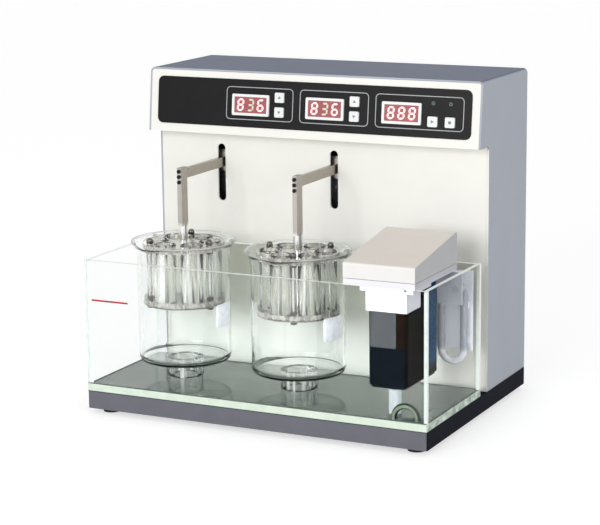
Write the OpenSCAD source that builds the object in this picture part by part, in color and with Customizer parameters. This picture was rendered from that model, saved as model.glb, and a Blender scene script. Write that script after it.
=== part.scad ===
// Tablet disintegration tester: two basket racks dip into beakers in a heated clear tank.
// Millimetres. X to the right, Y to the back, Z up. The origin is on the ground under the middle.

/* [Base] */
// Width of the base
base_w = 420; // [410:1:520]
// Depth of the base
base_d = 302; // [296:1:360]
// Height of the base
base_h = 20; // [14:1:40]
// Corner radius of the base
base_r = 3; // [1:0.5:6]
// Height of the rubber feet
foot_h = 6; // [4:0.5:15]
// Diameter of the rubber feet
foot_d = 20; // [14:1:30]
// Distance from the base edges to the middle of a foot
foot_inset = 20; // [16:1:40]

/* [Cabinet] */
// How far the cabinet sides stand in from the base sides
side_inset = 1; // [0:0.5:4]
// Thickness of the sheet of sides and top
shell_t = 2; // [1.2:0.1:3]
// Radius of the bend between the sides and the top
shell_r = 5; // [3:0.5:10]
// Distance from the base front to the column panel
column_set = 180; // [176:1:200]
// Height from the base to the underside of the head
column_h = 281; // [276:1:330]
// Distance from the base front to the lower front edge of the head
head_set = 153; // [140:1:165]
// How far the head face leans back from bottom to top
head_lean = 8; // [0:0.5:20]
// Height of the head
head_h = 74; // [70:1:90]
// Thickness of the column panel
panel_t = 2; // [1:0.1:4]
// Thickness of the head fascia
fascia_t = 3; // [2:0.1:5]
// How far the rear cover stands in from the back edge
cover_inset = 6; // [5:0.5:12]
// Thickness of the rear cover
cover_t = 2; // [1:0.1:3]
// Width of the flanges that the rear cover screws to
flange_w = 12; // [10:1:18]
// Clearance between parts that are fitted together
fit_gap = 0.2; // [0.1:0.05:0.4]

/* [Slots and lifting gear] */
// Distance from the left side of the base to the left lifting gear
drive_set = 83; // [80:1:90]
// Distance between the two lifting gears
drive_pitch = 146.2; // [140:0.2:170]
// Full stroke of a basket
stroke = 55; // [50:0.5:58]
// How far above the middle of the stroke the baskets stand
lift = 12.5; // [0:0.5:20]
// Height of the middle of the stroke above the base
stroke_z = 231.5; // [228:0.5:240]
// Width of the slots in the column panel
slot_w = 10; // [8:0.5:14]
// Width of an arm
arm_w = 5.5; // [4:0.1:7]
// Height of an arm
arm_h = 11; // [9:0.5:14]
// Distance from the base front to the basket centres
basket_set = 84; // [78:1:88]
// Depth of a hanger bar, front to back
hanger_d = 14; // [10:0.5:18]
// How far a hanger bar stands above its arm
hanger_over = 2; // [0:0.5:6]
// Diameter of the round foot of a hanger
collar_d = 10; // [8:0.5:14]
// Diameter of the rod that carries the basket plates
hanger_rod_d = 6; // [4:0.5:8]
// Diameter of the guide rods
guide_d = 8; // [6:0.5:10]
// Distance between the guide rods of one slider
guide_pitch = 48; // [44:1:56]
// Running clearance on the radius of shafts and rods
run_gap = 0.05; // [0.02:0.01:0.08]
// Height of a slider block
slider_h = 26; // [20:1:28]
// Depth of a slider block
slider_d = 12; // [11:0.5:16]
// Diameter of a crank disc
crank_d = 68; // [66:1:72]
// Thickness of a crank disc
crank_t = 6; // [4:0.5:8]
// Diameter of a crank pin
crank_pin_d = 8; // [6:0.5:10]
// Diameter of a gear motor's shaft
shaft_d = 10; // [8:0.5:14]
// Diameter of a gearbox
gearbox_d = 60; // [50:1:66]
// Depth of a gearbox
gearbox_l = 30; // [22:1:34]
// Diameter of a motor
motor_d = 50; // [40:1:56]
// Clearance between the motors and the rear cover
motor_clear = 8; // [4:0.5:20]
// Thickness of the chassis plate
chassis_t = 3; // [2:0.5:5]

/* [Baskets] */
// Diameter of the basket plates
plate_d = 94; // [90:1:96]
// Thickness of the basket plates
plate_t = 6; // [4:0.5:8]
// Height of a basket from its mesh to the top of its top plate
basket_h = 71; // [66:1:85]
// Height of a basket's top plate above the base
basket_z = 166; // [162:1:172]
// Outer diameter of the glass tubes
tube_d = 25.4; // [22:0.2:27]
// Wall of the glass tubes
tube_wall = 1.9; // [1:0.1:2.5]
// Radius of the circle that the tubes stand on
tube_ring = 31; // [29.5:0.5:32]
// How far the tubes stand above the top plate
tube_over = 1.5; // [0:0.5:4]
// Radius of the circle that the posts stand on
post_ring = 40; // [39:0.5:42]
// Diameter of the posts
post_d = 4; // [3:0.5:5]
// Width of the post nuts across corners
nut_d = 8; // [6:0.5:9]
// Height of the post nuts
nut_h = 3.5; // [2:0.5:4.5]
// Pitch of the wires of the basket mesh
mesh_pitch = 6; // [5:0.5:8]
// Thickness of the wires of the basket mesh
mesh_wire = 1; // [0.8:0.1:1.4]
// Turn of the left basket about its rod
left_turn = 106; // [0:1:120]
// Turn of the right basket about its rod
right_turn = 49; // [0:1:120]

/* [Tank and beakers] */
// Depth of the tank
tank_d = 157; // [150:1:165]
// Height of the tank walls
tank_h = 144; // [138:1:146]
// Thickness of the tank walls
tank_wall = 5; // [3:0.5:8]
// Thickness of the tank floor
tank_floor = 9; // [5:0.5:10]
// How far the tank stands in from the base edges
tank_inset = 0.5; // [0:0.5:3]
// Outer diameter of a beaker
beaker_d = 107; // [104:0.5:112]
// Height of a beaker
beaker_h = 140; // [134:1:146]
// Wall of a beaker
beaker_wall = 2.4; // [1.5:0.1:2.6]
// Thickness of a beaker's bottom
beaker_floor = 3; // [2:0.5:5]
// How far a beaker's lip flares out
lip_flare = 7; // [3:0.5:9]
// How far a beaker's spout stands out past its lip
spout_out = 6; // [2:0.5:8]
// Direction that the left beaker's spout points in
left_spout_turn = 258; // [180:1:300]
// Direction that the right beaker's spout points in
right_spout_turn = 276; // [180:1:300]
// Height of the beaker risers
riser_h = 19; // [12:1:22]
// Diameter of the beaker risers
riser_d = 42; // [30:1:60]
// Wall of the beaker risers
riser_wall = 7; // [4:0.5:10]

/* [Heater and pump unit] */
// Width of the heater lid
lid_w = 83; // [78:1:88]
// Depth of the heater lid
lid_d = 118; // [110:1:122]
// Distance from the right side of the base to the lid
lid_set = 13.8; // [10:0.1:20]
// Height of the lid at the front
lid_front_h = 16.8; // [14:0.1:24]
// Height of the lid at the back
lid_back_h = 35.3; // [30:0.1:44]
// Thickness of the tray's floor under the lid
tray_floor_t = 2.5; // [2:0.5:4]
// Radius of the lid's upper edges
lid_edge_r = 3; // [1:0.5:5]
// Wall of the lid
lid_wall = 2.5; // [1.5:0.1:3]
// Thickness of the flange under the lid
unit_flange_t = 7; // [5:0.5:9]
// Width of the pump body
pump_w = 45; // [38:1:48]
// Depth of the pump body
pump_d = 87; // [80:1:90]
// Distance from the base front to the pump body
pump_set = 23; // [20:1:26]
// Height of the pump's underside above the tank floor
pump_lift = 31; // [25:1:40]
// Height of the seam round the pump body above its underside
seam_h = 42; // [30:1:50]
// Diameter of the pump's foot pipe
foot_pipe_d = 14; // [10:0.5:16]
// Height of the white neck on the pump
neck_h = 31; // [28:1:44]
// Depth of the white neck
neck_d = 38; // [30:1:44]
// Height of the collar under the flange
collar_h = 7; // [4:0.5:12]
// Diameter of the heater tube
heater_d = 8; // [6:0.5:9]
// Distance between the legs of the heater tube
heater_pitch = 26.8; // [22:0.2:30]
// Diameter of the hose in the tank corner
hose_d = 6.5; // [5:0.5:8]
// Radius of the hose's arch
hose_r = 13.6; // [11:0.2:18]
// Diameter of the pump's impeller
impeller_d = 26; // [20:1:30]

/* [Control panel] */
// How far the black overlay stands in from the base sides
overlay_in = 12.5; // [10:0.5:20]
// Height of the black overlay
overlay_h = 55; // [52:1:60]
// Thickness of the overlay
overlay_t = 0.8; // [0.4:0.1:1.5]
// Corner radius of the overlay
overlay_r = 7; // [3:0.5:10]
// Width of a display bezel
bezel_w = 47.5; // [42:0.5:50]
// Height of a display bezel
bezel_h = 24.5; // [20:0.5:27]
// Width of the bezel's rim
bezel_rim = 3; // [2:0.5:4]
// Width of a push button
button_w = 11.5; // [8:0.5:13]
// Travel of a push button
button_travel = 1.2; // [0.8:0.1:1.5]
// How far the buttons stand out of the overlay
button_out = 2; // [1.5:0.1:4]

/* [Rear] */
// Width of a vent slot
vent_w = 60; // [40:1:70]
// Height of a vent slot
vent_h = 3; // [2:0.5:4]
// Distance between vent slots
vent_pitch = 8; // [6:0.5:12]
// Number of vent slots in a field
vent_count = 8; // [4:1:9]
// Width of the power inlet's flange
inlet_w = 34; // [32:1:40]
// Height of the power inlet's flange
inlet_h = 66; // [64:1:72]
// Height of the power inlet's middle above the base
inlet_z = 50; // [45:1:60]

/* [Hidden] */

// smoothness of round shapes
$fn = 64;
corner_steps = 5;
// a cut runs this far past the face that it opens
over = 1;

// heights
base_top = foot_h + base_h;
head_z = base_top + column_h;
top_z = head_z + head_h;
floor_z = base_top + tank_floor;
tank_top = floor_z + tank_h;
// depths
front_y = -base_d / 2;
back_y = base_d / 2;
column_y = front_y + column_set;
head_y = front_y + head_set;
cover_y = back_y - cover_inset;
// widths
cabinet_w = base_w - 2 * side_inset;
inner_w = cabinet_w - 2 * shell_t;
tank_w = base_w - 2 * tank_inset;
tank_y = front_y + tank_inset;

// lifting gear
drive_xs = [-base_w / 2 + drive_set, -base_w / 2 + drive_set + drive_pitch];
crank_r = stroke / 2;
crank_z = base_top + stroke_z;
arm_z = crank_z + lift;
crank_turn = asin(lift / crank_r);
slot_end = arm_h / 2 + 1;
basket_y = front_y + basket_set;
arm_foot_t = 3;
arm_foot_in = 2;
arm_foot_gap = 6;
slider_y = column_y + panel_t + arm_foot_gap + arm_foot_t;
guide_y = slider_y + slider_d / 2;
yoke_y = slider_y + slider_d;
yoke_t = 6;
yoke_rim = 8;
yoke_slot_w = crank_pin_d + 0.4;
yoke_slot_l = stroke + crank_pin_d + 4;
crank_gap = 4;
crank_hole_ring = crank_r * 0.62;
crank_hole_r = 5;
crank_y = yoke_y + yoke_t + crank_gap;
pin_gap = 0.4;
hub_l = 1.7;
hub_gap = 0.3;
chassis_y = crank_y + crank_t + hub_l + hub_gap;
motor_y = chassis_y + chassis_t;
motor_l = cover_y - cover_t - motor_clear - motor_y - gearbox_l;
brush_w = 24;
brush_h = 5;
shaft_l = 12;
block_h = 12;
block_gap = 2;
block_w = guide_pitch + guide_d + 12;
upper_block_z = crank_z + stroke / 2 + slider_h / 2 + block_gap;
lower_block_z = crank_z - stroke / 2 - slider_h / 2 - block_gap - block_h;
chassis_top = upper_block_z + block_h;
chassis_foot = 20;
chassis_w = inner_w - 20;

// baskets
plate_top = base_top + basket_z;
mesh_z = plate_top - basket_h;
bottom_z = mesh_z + mesh_wire;
bar_low = plate_top + 18;
bar_top = arm_z + arm_h / 2 + hanger_over;
post_end = 3;
mesh_rim = 2;
collar_in = 3;
screw_top = bar_top - 4;
screw_pitch = 6.2;
screw_d = 4.4;
screw_head = 1.6;
screw_end = 3;

// tank and beakers
beaker_z = floor_z + riser_h;
pane_y2 = tank_y + tank_d - tank_wall;
spout_width = 17;
cup_steps = 48;

// heater and pump unit
lid_x2 = base_w / 2 - lid_set;
lid_x1 = lid_x2 - lid_w;
unit_z = tank_top + unit_flange_t;
tray_z = tank_top + tray_floor_t;
lid_gap = 0.5;
lid_z = unit_z + lid_gap;
lid_y2 = front_y + lid_d;
hinge_r = 6;
hinge_y = lid_y2 - hinge_r;
hinge_z = lid_z + hinge_r;
ear_r = hinge_r - lid_wall - 0.3;
ear_t = 3;
ear_gap = 0.3;
ear_xs = [lid_x1 + lid_wall + ear_gap, lid_x2 - lid_wall - ear_gap - ear_t];
lid_pin_r = 1.6;
pump_x = lid_x1 + lid_w / 2 - 0.7;
pump_y1 = front_y + pump_set;
pump_y2 = pump_y1 + pump_d;
pump_z = floor_z + pump_lift;
pump_r = 6;
seam_w = 0.8;
seam_in = 0.5;
neck_over = 1.3;
neck_w = pump_w + 2 * neck_over;
neck_y1 = pump_y1 - neck_over;
neck_y2 = neck_y1 + neck_d;
collar_y1 = tank_y + tank_wall + 5.5;
collar_x1 = pump_x - neck_w / 2 - 2;
collar_x2 = pump_x + neck_w / 2 + 12;
collar_hole_r = 1.6;
collar_hole_x = collar_x2 - 9;
neck_z = tank_top - neck_h;
neck_wall = 2.5;
skirt_t = 3;
skirt_h = 38;
skirt_y = pump_y2 + fit_gap;
skirt_x1 = pump_x + 9;
skirt_x2 = base_w / 2 - tank_inset - tank_wall - 1;
heater_gap = 12.5;
heater_y = pane_y2 - heater_d / 2 - heater_gap;
heater_x = skirt_x2 - heater_pitch / 2 - heater_d / 2 - 3.5;
heater_low = floor_z + 32;
heater_bend = 12;
heater_top = tank_top - 21;
nut_rim = 2.5;
heater_nut_t = 4;
// the sheet that guards the rear pane from the heater
guard_t = 1;
guard_y = heater_y + heater_d / 2 + 4;
guard_low = floor_z + 47.5;
guard_top = tank_top - 6;
guard_x1 = skirt_x1 - 6;
saddle_w = 5;
saddle_h = 8;
cover_plate_t = 3;
chamber_h = 20;
impeller_h = 15;
impeller_gap = 1.5;
chamber_gap = 1;
hub_r = 6;
blade_t = 2;
axle_r = 2;
axle_l = 14;
intake_ring = 7.5;
intake_r = 2.6;
impeller_y = (pump_y1 + pump_y2) / 2;

probe_r = 2;
probe_low = 50;
probe_in = 4;
sleeve_r = 2.8;
sleeve_h = 10;
hose_in = 7;
hose_set = 4;
hose_wall = 1.2;
hose_foot_t = 1;
hose_rim = 0.8;

// control panel, in the plane of the head face
overlay_w = base_w - 2 * overlay_in;
lean = atan(head_lean / head_h);
face_l = sqrt(head_lean * head_lean + head_h * head_h);
face_mid = face_l / 2;
group_w = [86, 86, 106.5];
group_gap = 8.3;
group_margin = 9;
group_x3 = overlay_w / 2 - group_margin - group_w[2] / 2;
group_x2 = group_x3 - group_w[2] / 2 - group_gap - group_w[1] / 2;
group_x1 = group_x2 - group_w[1] / 2 - group_gap - group_w[0] / 2;
// how far displays, buttons and lamps stand from the middle of their group
display_in = 11;
last_display_in = 21;
display_drop = 1.7;
button_in = 26;
button_rise = 8.4;
pair_in = 27;
pair_side = 10.4;
pair_drop = 9.4;
lamp_rise = 11;
display_z = face_mid - display_drop;
display_at = [[group_x1 - display_in, display_z], [group_x2 - display_in, display_z],
    [group_x3 - last_display_in, display_z]];
button_at = [[group_x1 + button_in, face_mid + button_rise],
    [group_x1 + button_in, face_mid - button_rise],
    [group_x2 + button_in, face_mid + button_rise],
    [group_x2 + button_in, face_mid - button_rise],
    [group_x3 + pair_in - pair_side, face_mid - pair_drop],
    [group_x3 + pair_in + pair_side, face_mid - pair_drop]];
lamp_at = [for (i = [4, 5]) [button_at[i][0], face_mid + lamp_rise]];
lamp_d = 3;
lamp_out = 0.8;
button_gap = 0.25;
board_y = 14;
board_t = 1.6;
board_w = 310;
board_h = 56;
board_x = (group_x1 + group_x3) / 2 + 4;
chip_xs = [-90, -30, 40];
chip_w = 26;
chip_h = 14;
chip_t = 6;
coil_x = 110;
coil_w = 34;
coil_h = 30;
coil_t = 14;
boss_d = 7;
flange_t = 1.5;
boss_at = [for (sx = [-1, 1], sz = [-1, 1])
    [board_x + sx * (board_w / 2 - boss_d), face_mid + sz * (board_h / 2 - boss_d / 2)]];
switch_w = 6;
switch_h = 3.5;
stem_r = 2;
button_r = 1.5;
bezel_out = 1.8;
bezel_l = 6;
module_in = 0.6;

// rear
inlet_x = -cabinet_w / 2 + 60;
inlet_zm = base_top + inlet_z;
inlet_t = 2;
inlet_r = 3;
inlet_body = 30;
inlet_rim = 3;
inlet_body_w = inlet_w - 2 * inlet_rim;
inlet_body_h = inlet_h - 2 * inlet_rim;
socket_w = 24;
socket_h = 17;
socket_d = 16;
socket_z = inlet_zm - 17;
contact_x = 7;
contact_z = 2;
contact_w = 2;
contact_h = 5;
contact_l = socket_d - 4;
fuse_w = 20;
fuse_h = 7;
fuse_out = 0.8;
vent_x = 90;
vent_zs = [base_top + 130, base_top + 250];
rocker_w = 13;
rocker_l = 18.4;
rocker_gap = 0.3;
rocker_tilt = 7;
rocker_y = cover_y - 2;
rocker_z = inlet_zm + 18;
rocker_in = 4;
rocker_out = 6.6;
rocker_pin_r = 1.5;
cover_top = top_z - shell_t - fit_gap;
cover_screw_x = inner_w / 2 - flange_w / 2;
cover_screw_z = [base_top + 20, (base_top + top_z) / 2, top_z - 20];
cover_screw_r = 1.5;
foot_screw_r = 2;
foot_screw_in = 8;
supply_w = 120;
supply_h = 48;
supply_x = cabinet_w / 2 - 95;
supply_y1 = motor_y + chassis_foot + 2;
supply_y2 = cover_y - cover_t - 8;
supply_ear = 12;
supply_ear_in = 4;
terminal_w = 10;
terminal_h = 8;
terminal_pitch = 14;

// ---- helpers ----

function arc(mid, r, a0, a1) =
    [for (i = [0:corner_steps]) mid + r * [cos(a0 + (a1 - a0) * i / corner_steps),
        sin(a0 + (a1 - a0) * i / corner_steps)]];

// the corner q of a path from p over q to s, rounded
function fillet(p, q, s, r) = let (
    a = (p - q) / norm(p - q),
    b = (s - q) / norm(s - q),
    half = acos(a * b) / 2,
    mid = q + (a + b) / norm(a + b) * r / sin(half),
    start = q + a * r / tan(half) - mid,
    side = sign(cross([q[0] - p[0], q[1] - p[1]], [s[0] - q[0], s[1] - q[1]])),
    a0 = atan2(start[1], start[0]))
    arc(mid, r, a0, a0 + side * (180 - 2 * half));

function round_box(w, h, r) = concat(
    arc([w / 2 - r, h / 2 - r], r, 0, 90),
    arc([-w / 2 + r, h / 2 - r], r, 90, 180),
    arc([-w / 2 + r, -h / 2 + r], r, 180, 270),
    arc([w / 2 - r, -h / 2 + r], r, 270, 360));

// a block with a corner at the lowest place, given by its two corners
module block(low, high) {
    translate(low)
        cube(high - low);
}

// a flat outline drawn in X and Z, from y1 to y2
module across(y1, y2) {
    translate([0, y2, 0])
        rotate([90, 0, 0])
            linear_extrude(y2 - y1)
                children();
}

// a flat outline drawn in Y and Z, from x1 to x2
module along(x1, x2) {
    translate([x1, 0, 0])
        rotate([90, 0, 90])
            linear_extrude(x2 - x1)
                children();
}

// a round bar along Y, from y1 to y2
module bar_y(x, z, r, y1, y2) {
    translate([x, y2, z])
        rotate([90, 0, 0])
            cylinder(r = r, h = y2 - y1);
}

// a round bar along Z, from z1 to z2
module bar_z(x, y, r, z1, z2) {
    translate([x, y, z1])
        cylinder(r = r, h = z2 - z1);
}

// places what is drawn in the plane of the head face: X right, Y inwards, Z up the face
module on_face() {
    translate([0, head_y, head_z])
        rotate([-lean, 0, 0])
            children();
}

// ---- base ----

module foot_places() {
    for (sx = [-1, 1], sy = [-1, 1])
        translate([sx * (base_w / 2 - foot_inset), sy * (base_d / 2 - foot_inset), 0])
            children();
}

module base_plate() {
    color("dimgray")
        difference() {
            translate([0, 0, foot_h])
                linear_extrude(base_h)
                    polygon(round_box(base_w, base_d, base_r));
            foot_places()
                translate([0, 0, foot_h - over])
                    cylinder(r = foot_screw_r + run_gap, h = foot_screw_in + over);
        }
}

module rubber_feet() {
    color("black")
        foot_places()
            difference() {
                cylinder(d = foot_d, h = foot_h);
                translate([0, 0, -over])
                    cylinder(r = foot_screw_r + run_gap, h = foot_h + 2 * over);
                translate([0, 0, -over])
                    cylinder(r = 2 * foot_screw_r + fit_gap, h = foot_h / 2 + over);
            }
}

module case_screws() {
    color("silver") {
        foot_places() {
            translate([0, 0, 1])
                cylinder(r = 2 * foot_screw_r, h = foot_h / 2 - 1);
            translate([0, 0, 1])
                cylinder(r = foot_screw_r, h = foot_h + foot_screw_in - 2);
        }
        for (sx = [-1, 1], z = cover_screw_z) {
            bar_y(sx * cover_screw_x, z, 2 * cover_screw_r, cover_y, cover_y + cover_screw_r);
            bar_y(sx * cover_screw_x, z, cover_screw_r, cover_y - cover_t - shell_t - 2, cover_y);
        }
    }
}

// ---- cabinet ----

function side_outline() = [[column_y, base_top], [column_y, head_z], [head_y, head_z],
    [head_y + head_lean, top_z], [back_y, top_z], [back_y, base_top]];

// the section across the cabinet, drawn in X and Z
function wrap_outline(w, top, r, low = 0) = concat(
    [[-w / 2, low], [w / 2, low]],
    arc([w / 2 - r, top - r], r, 0, 90),
    arc([-w / 2 + r, top - r], r, 90, 180));

module cabinet_shell() {
    color("lightsteelblue")
        difference() {
            union() {
                difference() {
                    intersection() {
                        along(-cabinet_w / 2, cabinet_w / 2)
                            polygon(side_outline());
                        across(head_y - over, back_y)
                            polygon(wrap_outline(cabinet_w, top_z, shell_r));
                    }
                    across(head_y - 2 * over, back_y + over)
                        polygon(wrap_outline(inner_w, top_z - shell_t, shell_r - shell_t));
                }
                for (sx = [-1, 1])
                    translate([sx * (inner_w / 2 - flange_w / 2 + shell_t / 2), 0, 0])
                        block([-flange_w / 2 - shell_t / 2, cover_y - cover_t - shell_t, base_top],
                            [flange_w / 2, cover_y - cover_t, top_z - shell_r]);
            }
            for (sx = [-1, 1], z = cover_screw_z)
                bar_y(sx * cover_screw_x, z, cover_screw_r + run_gap,
                    cover_y - cover_t - shell_t - over, cover_y - cover_t + over);
        }
}

module slot_outline(x) {
    for (z = [crank_z - stroke / 2 - slot_end + slot_w / 2, crank_z + stroke / 2 + slot_end - slot_w / 2])
        translate([x, z])
            circle(d = slot_w);
    translate([x - slot_w / 2, crank_z - stroke / 2 - slot_end + slot_w / 2])
        square([slot_w, stroke + 2 * slot_end - slot_w]);
}

module column_panel() {
    color("whitesmoke")
        across(column_y, column_y + panel_t)
            difference() {
                translate([-inner_w / 2 + fit_gap, base_top])
                    square([inner_w - 2 * fit_gap, column_h]);
                for (x = drive_xs)
                    slot_outline(x);
            }
}

// the windows of the head face, drawn in its plane
module face_windows(gap) {
    for (p = display_at)
        translate(p)
            square([bezel_w + 2 * gap, bezel_h + 2 * gap], center = true);
    for (p = button_at)
        translate(p)
            square([button_w + 2 * gap, button_w + 2 * gap], center = true);
    for (p = lamp_at)
        translate(p)
            circle(d = lamp_d + 2 * gap);
}

// the fascia's side, drawn in Y and Z: the leaning face, and the flange that closes the head below
function fascia_side() = let (
    l = face_l - (shell_t + fit_gap) / cos(lean),
    up = (flange_t + fascia_t * sin(lean)) / cos(lean)) [
    [head_y, head_z], [column_y + panel_t, head_z], [column_y + panel_t, head_z + flange_t],
    [head_y + fascia_t * cos(lean) + up * sin(lean), head_z + flange_t],
    [head_y + fascia_t * cos(lean) + l * sin(lean), head_z + l * cos(lean) - fascia_t * sin(lean)],
    [head_y + l * sin(lean), head_z + l * cos(lean)]];

module head_fascia() {
    color("whitesmoke") {
        difference() {
            intersection() {
                along(-inner_w / 2 + fit_gap, inner_w / 2 - fit_gap)
                    polygon(fascia_side());
                across(head_y - over, column_y + panel_t + over)
                    polygon(wrap_outline(inner_w - 2 * fit_gap, cover_top, shell_r - shell_t,
                        head_z - over));
            }
            on_face()
                across(-over, fascia_t + over)
                    face_windows(button_gap);
        }
        on_face()
            for (p = boss_at)
                bar_y(p[0], p[1], boss_d / 2, fascia_t - over, board_y);
    }
}

module control_overlay() {
    color([0.17, 0.16, 0.17])
        on_face()
            across(-overlay_t, 0)
                difference() {
                    translate([0, face_mid])
                        polygon(round_box(overlay_w, overlay_h, overlay_r));
                    face_windows(button_gap);
                }
}

module display_bezels() {
    color("white")
        on_face()
            for (p = display_at)
                translate([p[0], 0, p[1]])
                    across(-overlay_t - bezel_out, bezel_l)
                        difference() {
                            polygon(round_box(bezel_w, bezel_h, bezel_rim / 2));
                            square([bezel_w - 2 * bezel_rim, bezel_h - 2 * bezel_rim], center = true);
                        }
}

module display_modules() {
    color([0.25, 0.05, 0.05])
        on_face()
            for (p = display_at)
                translate([p[0], 0, p[1]])
                    across(-overlay_t - bezel_out + module_in, board_y)
                        square([bezel_w - 2 * bezel_rim - fit_gap, bezel_h - 2 * bezel_rim - fit_gap],
                            center = true);
}

module control_board() {
    color("darkgreen")
        on_face() {
            translate([board_x, 0, face_mid])
                across(board_y, board_y + board_t)
                    square([board_w, board_h], center = true);
            for (p = button_at)
                translate([p[0], 0, p[1]])
                    across(board_y - switch_h, board_y)
                        square([switch_w, switch_w], center = true);
            for (p = lamp_at)
                bar_y(p[0], p[1], lamp_d / 2, -overlay_t - lamp_out, board_y);
            for (x = chip_xs)
                translate([board_x + x, 0, face_mid])
                    across(board_y + board_t, board_y + board_t + chip_t)
                        square([chip_w, chip_h], center = true);
            translate([board_x + coil_x, 0, face_mid])
                across(board_y + board_t, board_y + board_t + coil_t)
                    square([coil_w, coil_h], center = true);
        }
}

module push_button(i) {
    color("white")
        on_face()
            translate([button_at[i][0], 0, button_at[i][1]]) {
                across(-overlay_t - button_out, fascia_t)
                    polygon(round_box(button_w, button_w, button_r));
                bar_y(0, 0, stem_r, fascia_t, board_y - switch_h - button_travel - fit_gap);
            }
}

module temp_up_button() push_button(0);
module temp_down_button() push_button(1);
module time_up_button() push_button(2);
module time_down_button() push_button(3);
module start_button() push_button(4);
module stop_button() push_button(5);

// ---- rear ----

module vent_field(x, z) {
    for (i = [0:vent_count - 1])
        translate([x - vent_w / 2, z + i * vent_pitch])
            square([vent_w, vent_h]);
}

module rear_cover() {
    color("lightgray")
        difference() {
            across(cover_y - cover_t, cover_y)
                difference() {
                    polygon(wrap_outline(inner_w - 2 * fit_gap, cover_top, shell_r - shell_t,
                        base_top));
                    for (x = [-vent_x, vent_x], z = vent_zs)
                        vent_field(x, z);
                    translate([inlet_x, inlet_zm])
                        square([inlet_body_w + 2 * fit_gap, inlet_body_h + 2 * fit_gap], center = true);
                }
            for (sx = [-1, 1], z = cover_screw_z)
                bar_y(sx * cover_screw_x, z, cover_screw_r + run_gap, cover_y - cover_t - over,
                    cover_y + over);
        }
}

module power_inlet() {
    color([0.12, 0.12, 0.13]) {
        difference() {
            union() {
                translate([inlet_x, 0, inlet_zm])
                    across(cover_y, cover_y + inlet_t)
                        polygon(round_box(inlet_w, inlet_h, inlet_r));
                translate([inlet_x, 0, inlet_zm])
                    across(cover_y - inlet_body, cover_y + over / 2)
                        square([inlet_body_w, inlet_body_h], center = true);
            }
            translate([inlet_x, 0, socket_z])
                across(cover_y + inlet_t - socket_d, cover_y + inlet_t + over)
                    polygon(round_box(socket_w, socket_h, inlet_r));
            translate([inlet_x, 0, rocker_z])
                across(rocker_y - rocker_in - 3, cover_y + inlet_t + over)
                    square([rocker_w + 2 * rocker_gap, rocker_l + 2.2], center = true);
            translate([inlet_x, rocker_y, rocker_z])
                rotate([0, 90, 0])
                    cylinder(r = rocker_pin_r + run_gap, h = rocker_w + 4, center = true);
        }
        for (i = [-1, 0, 1])
            translate([inlet_x + i * contact_x, 0, socket_z + (i == 0 ? contact_z : -contact_z)])
                across(cover_y + inlet_t - socket_d - over / 2, cover_y + inlet_t - socket_d + contact_l)
                    square([contact_w, contact_h], center = true);
        translate([inlet_x, 0, inlet_zm - over])
            across(cover_y + inlet_t / 2, cover_y + inlet_t + fuse_out)
                polygon(round_box(fuse_w, fuse_h, over));
    }
}

module power_rocker() {
    half = rocker_l / 2;
    color([0.7, 0.1, 0.08])
        translate([inlet_x, rocker_y, rocker_z])
            rotate([-rocker_tilt, 0, 0]) {
                along(-rocker_w / 2, rocker_w / 2)
                    polygon([[-rocker_in, -half + 2], [5, -half], [rocker_out, -half + 0.8], [4.6, 0],
                        [rocker_out, half - 0.8], [5, half], [-rocker_in, half - 2]]);
                rotate([0, 90, 0])
                    cylinder(r = rocker_pin_r, h = rocker_w + 3, center = true);
            }
}

module power_supply() {
    third = (supply_y2 - supply_y1) / 3;
    color("silver") {
        block([supply_x - supply_w / 2, supply_y1, base_top],
            [supply_x + supply_w / 2, supply_y2, base_top + supply_h]);
        block([supply_x - supply_w / 2 - supply_ear, supply_y1 + supply_ear_in, base_top],
            [supply_x + supply_w / 2 + supply_ear, supply_y2 - supply_ear_in, base_top + shell_t]);
        for (i = [-2:2])
            block([supply_x + i * terminal_pitch - terminal_w / 2, supply_y1 + third / 2,
                base_top + supply_h],
                [supply_x + i * terminal_pitch + terminal_w / 2, supply_y1 + third,
                    base_top + supply_h + terminal_h]);
    }
}

// ---- lifting gear ----

module chassis_plate() {
    color("gainsboro") {
        across(chassis_y, chassis_y + chassis_t)
            difference() {
                translate([-chassis_w / 2, base_top])
                    square([chassis_w, chassis_top - base_top]);
                for (x = drive_xs)
                    translate([x, crank_z])
                        circle(r = shaft_d / 2 + 1);
            }
        block([-chassis_w / 2, chassis_y, base_top],
            [chassis_w / 2, chassis_y + chassis_foot, base_top + chassis_t]);
    }
}

module guide_blocks() {
    color("silver")
        for (x = drive_xs, z = [lower_block_z, upper_block_z])
            difference() {
                block([x - block_w / 2, slider_y, z], [x + block_w / 2, chassis_y, z + block_h]);
                for (sx = [-1, 1])
                    bar_z(x + sx * guide_pitch / 2, guide_y, guide_d / 2 + run_gap,
                        z - over, z + block_h + over);
            }
}

module guide_rods() {
    color("lightgray")
        for (x = drive_xs, sx = [-1, 1])
            bar_z(x + sx * guide_pitch / 2, guide_y, guide_d / 2, lower_block_z,
                upper_block_z + block_h);
}

module gear_motor(x) {
    color("slategray")
        difference() {
            union() {
                bar_y(x, crank_z, gearbox_d / 2, motor_y, motor_y + gearbox_l);
                bar_y(x, crank_z, motor_d / 2, motor_y, motor_y + gearbox_l + motor_l);
                block([x - brush_w / 2, motor_y + gearbox_l, crank_z],
                    [x + brush_w / 2, motor_y + gearbox_l + motor_l * 0.8,
                        crank_z + motor_d / 2 + brush_h]);
            }
            bar_y(x, crank_z, shaft_d / 2 + run_gap, motor_y - over, motor_y + shaft_l + over);
        }
}

module left_gear_motor() gear_motor(drive_xs[0]);
module right_gear_motor() gear_motor(drive_xs[1]);

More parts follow.
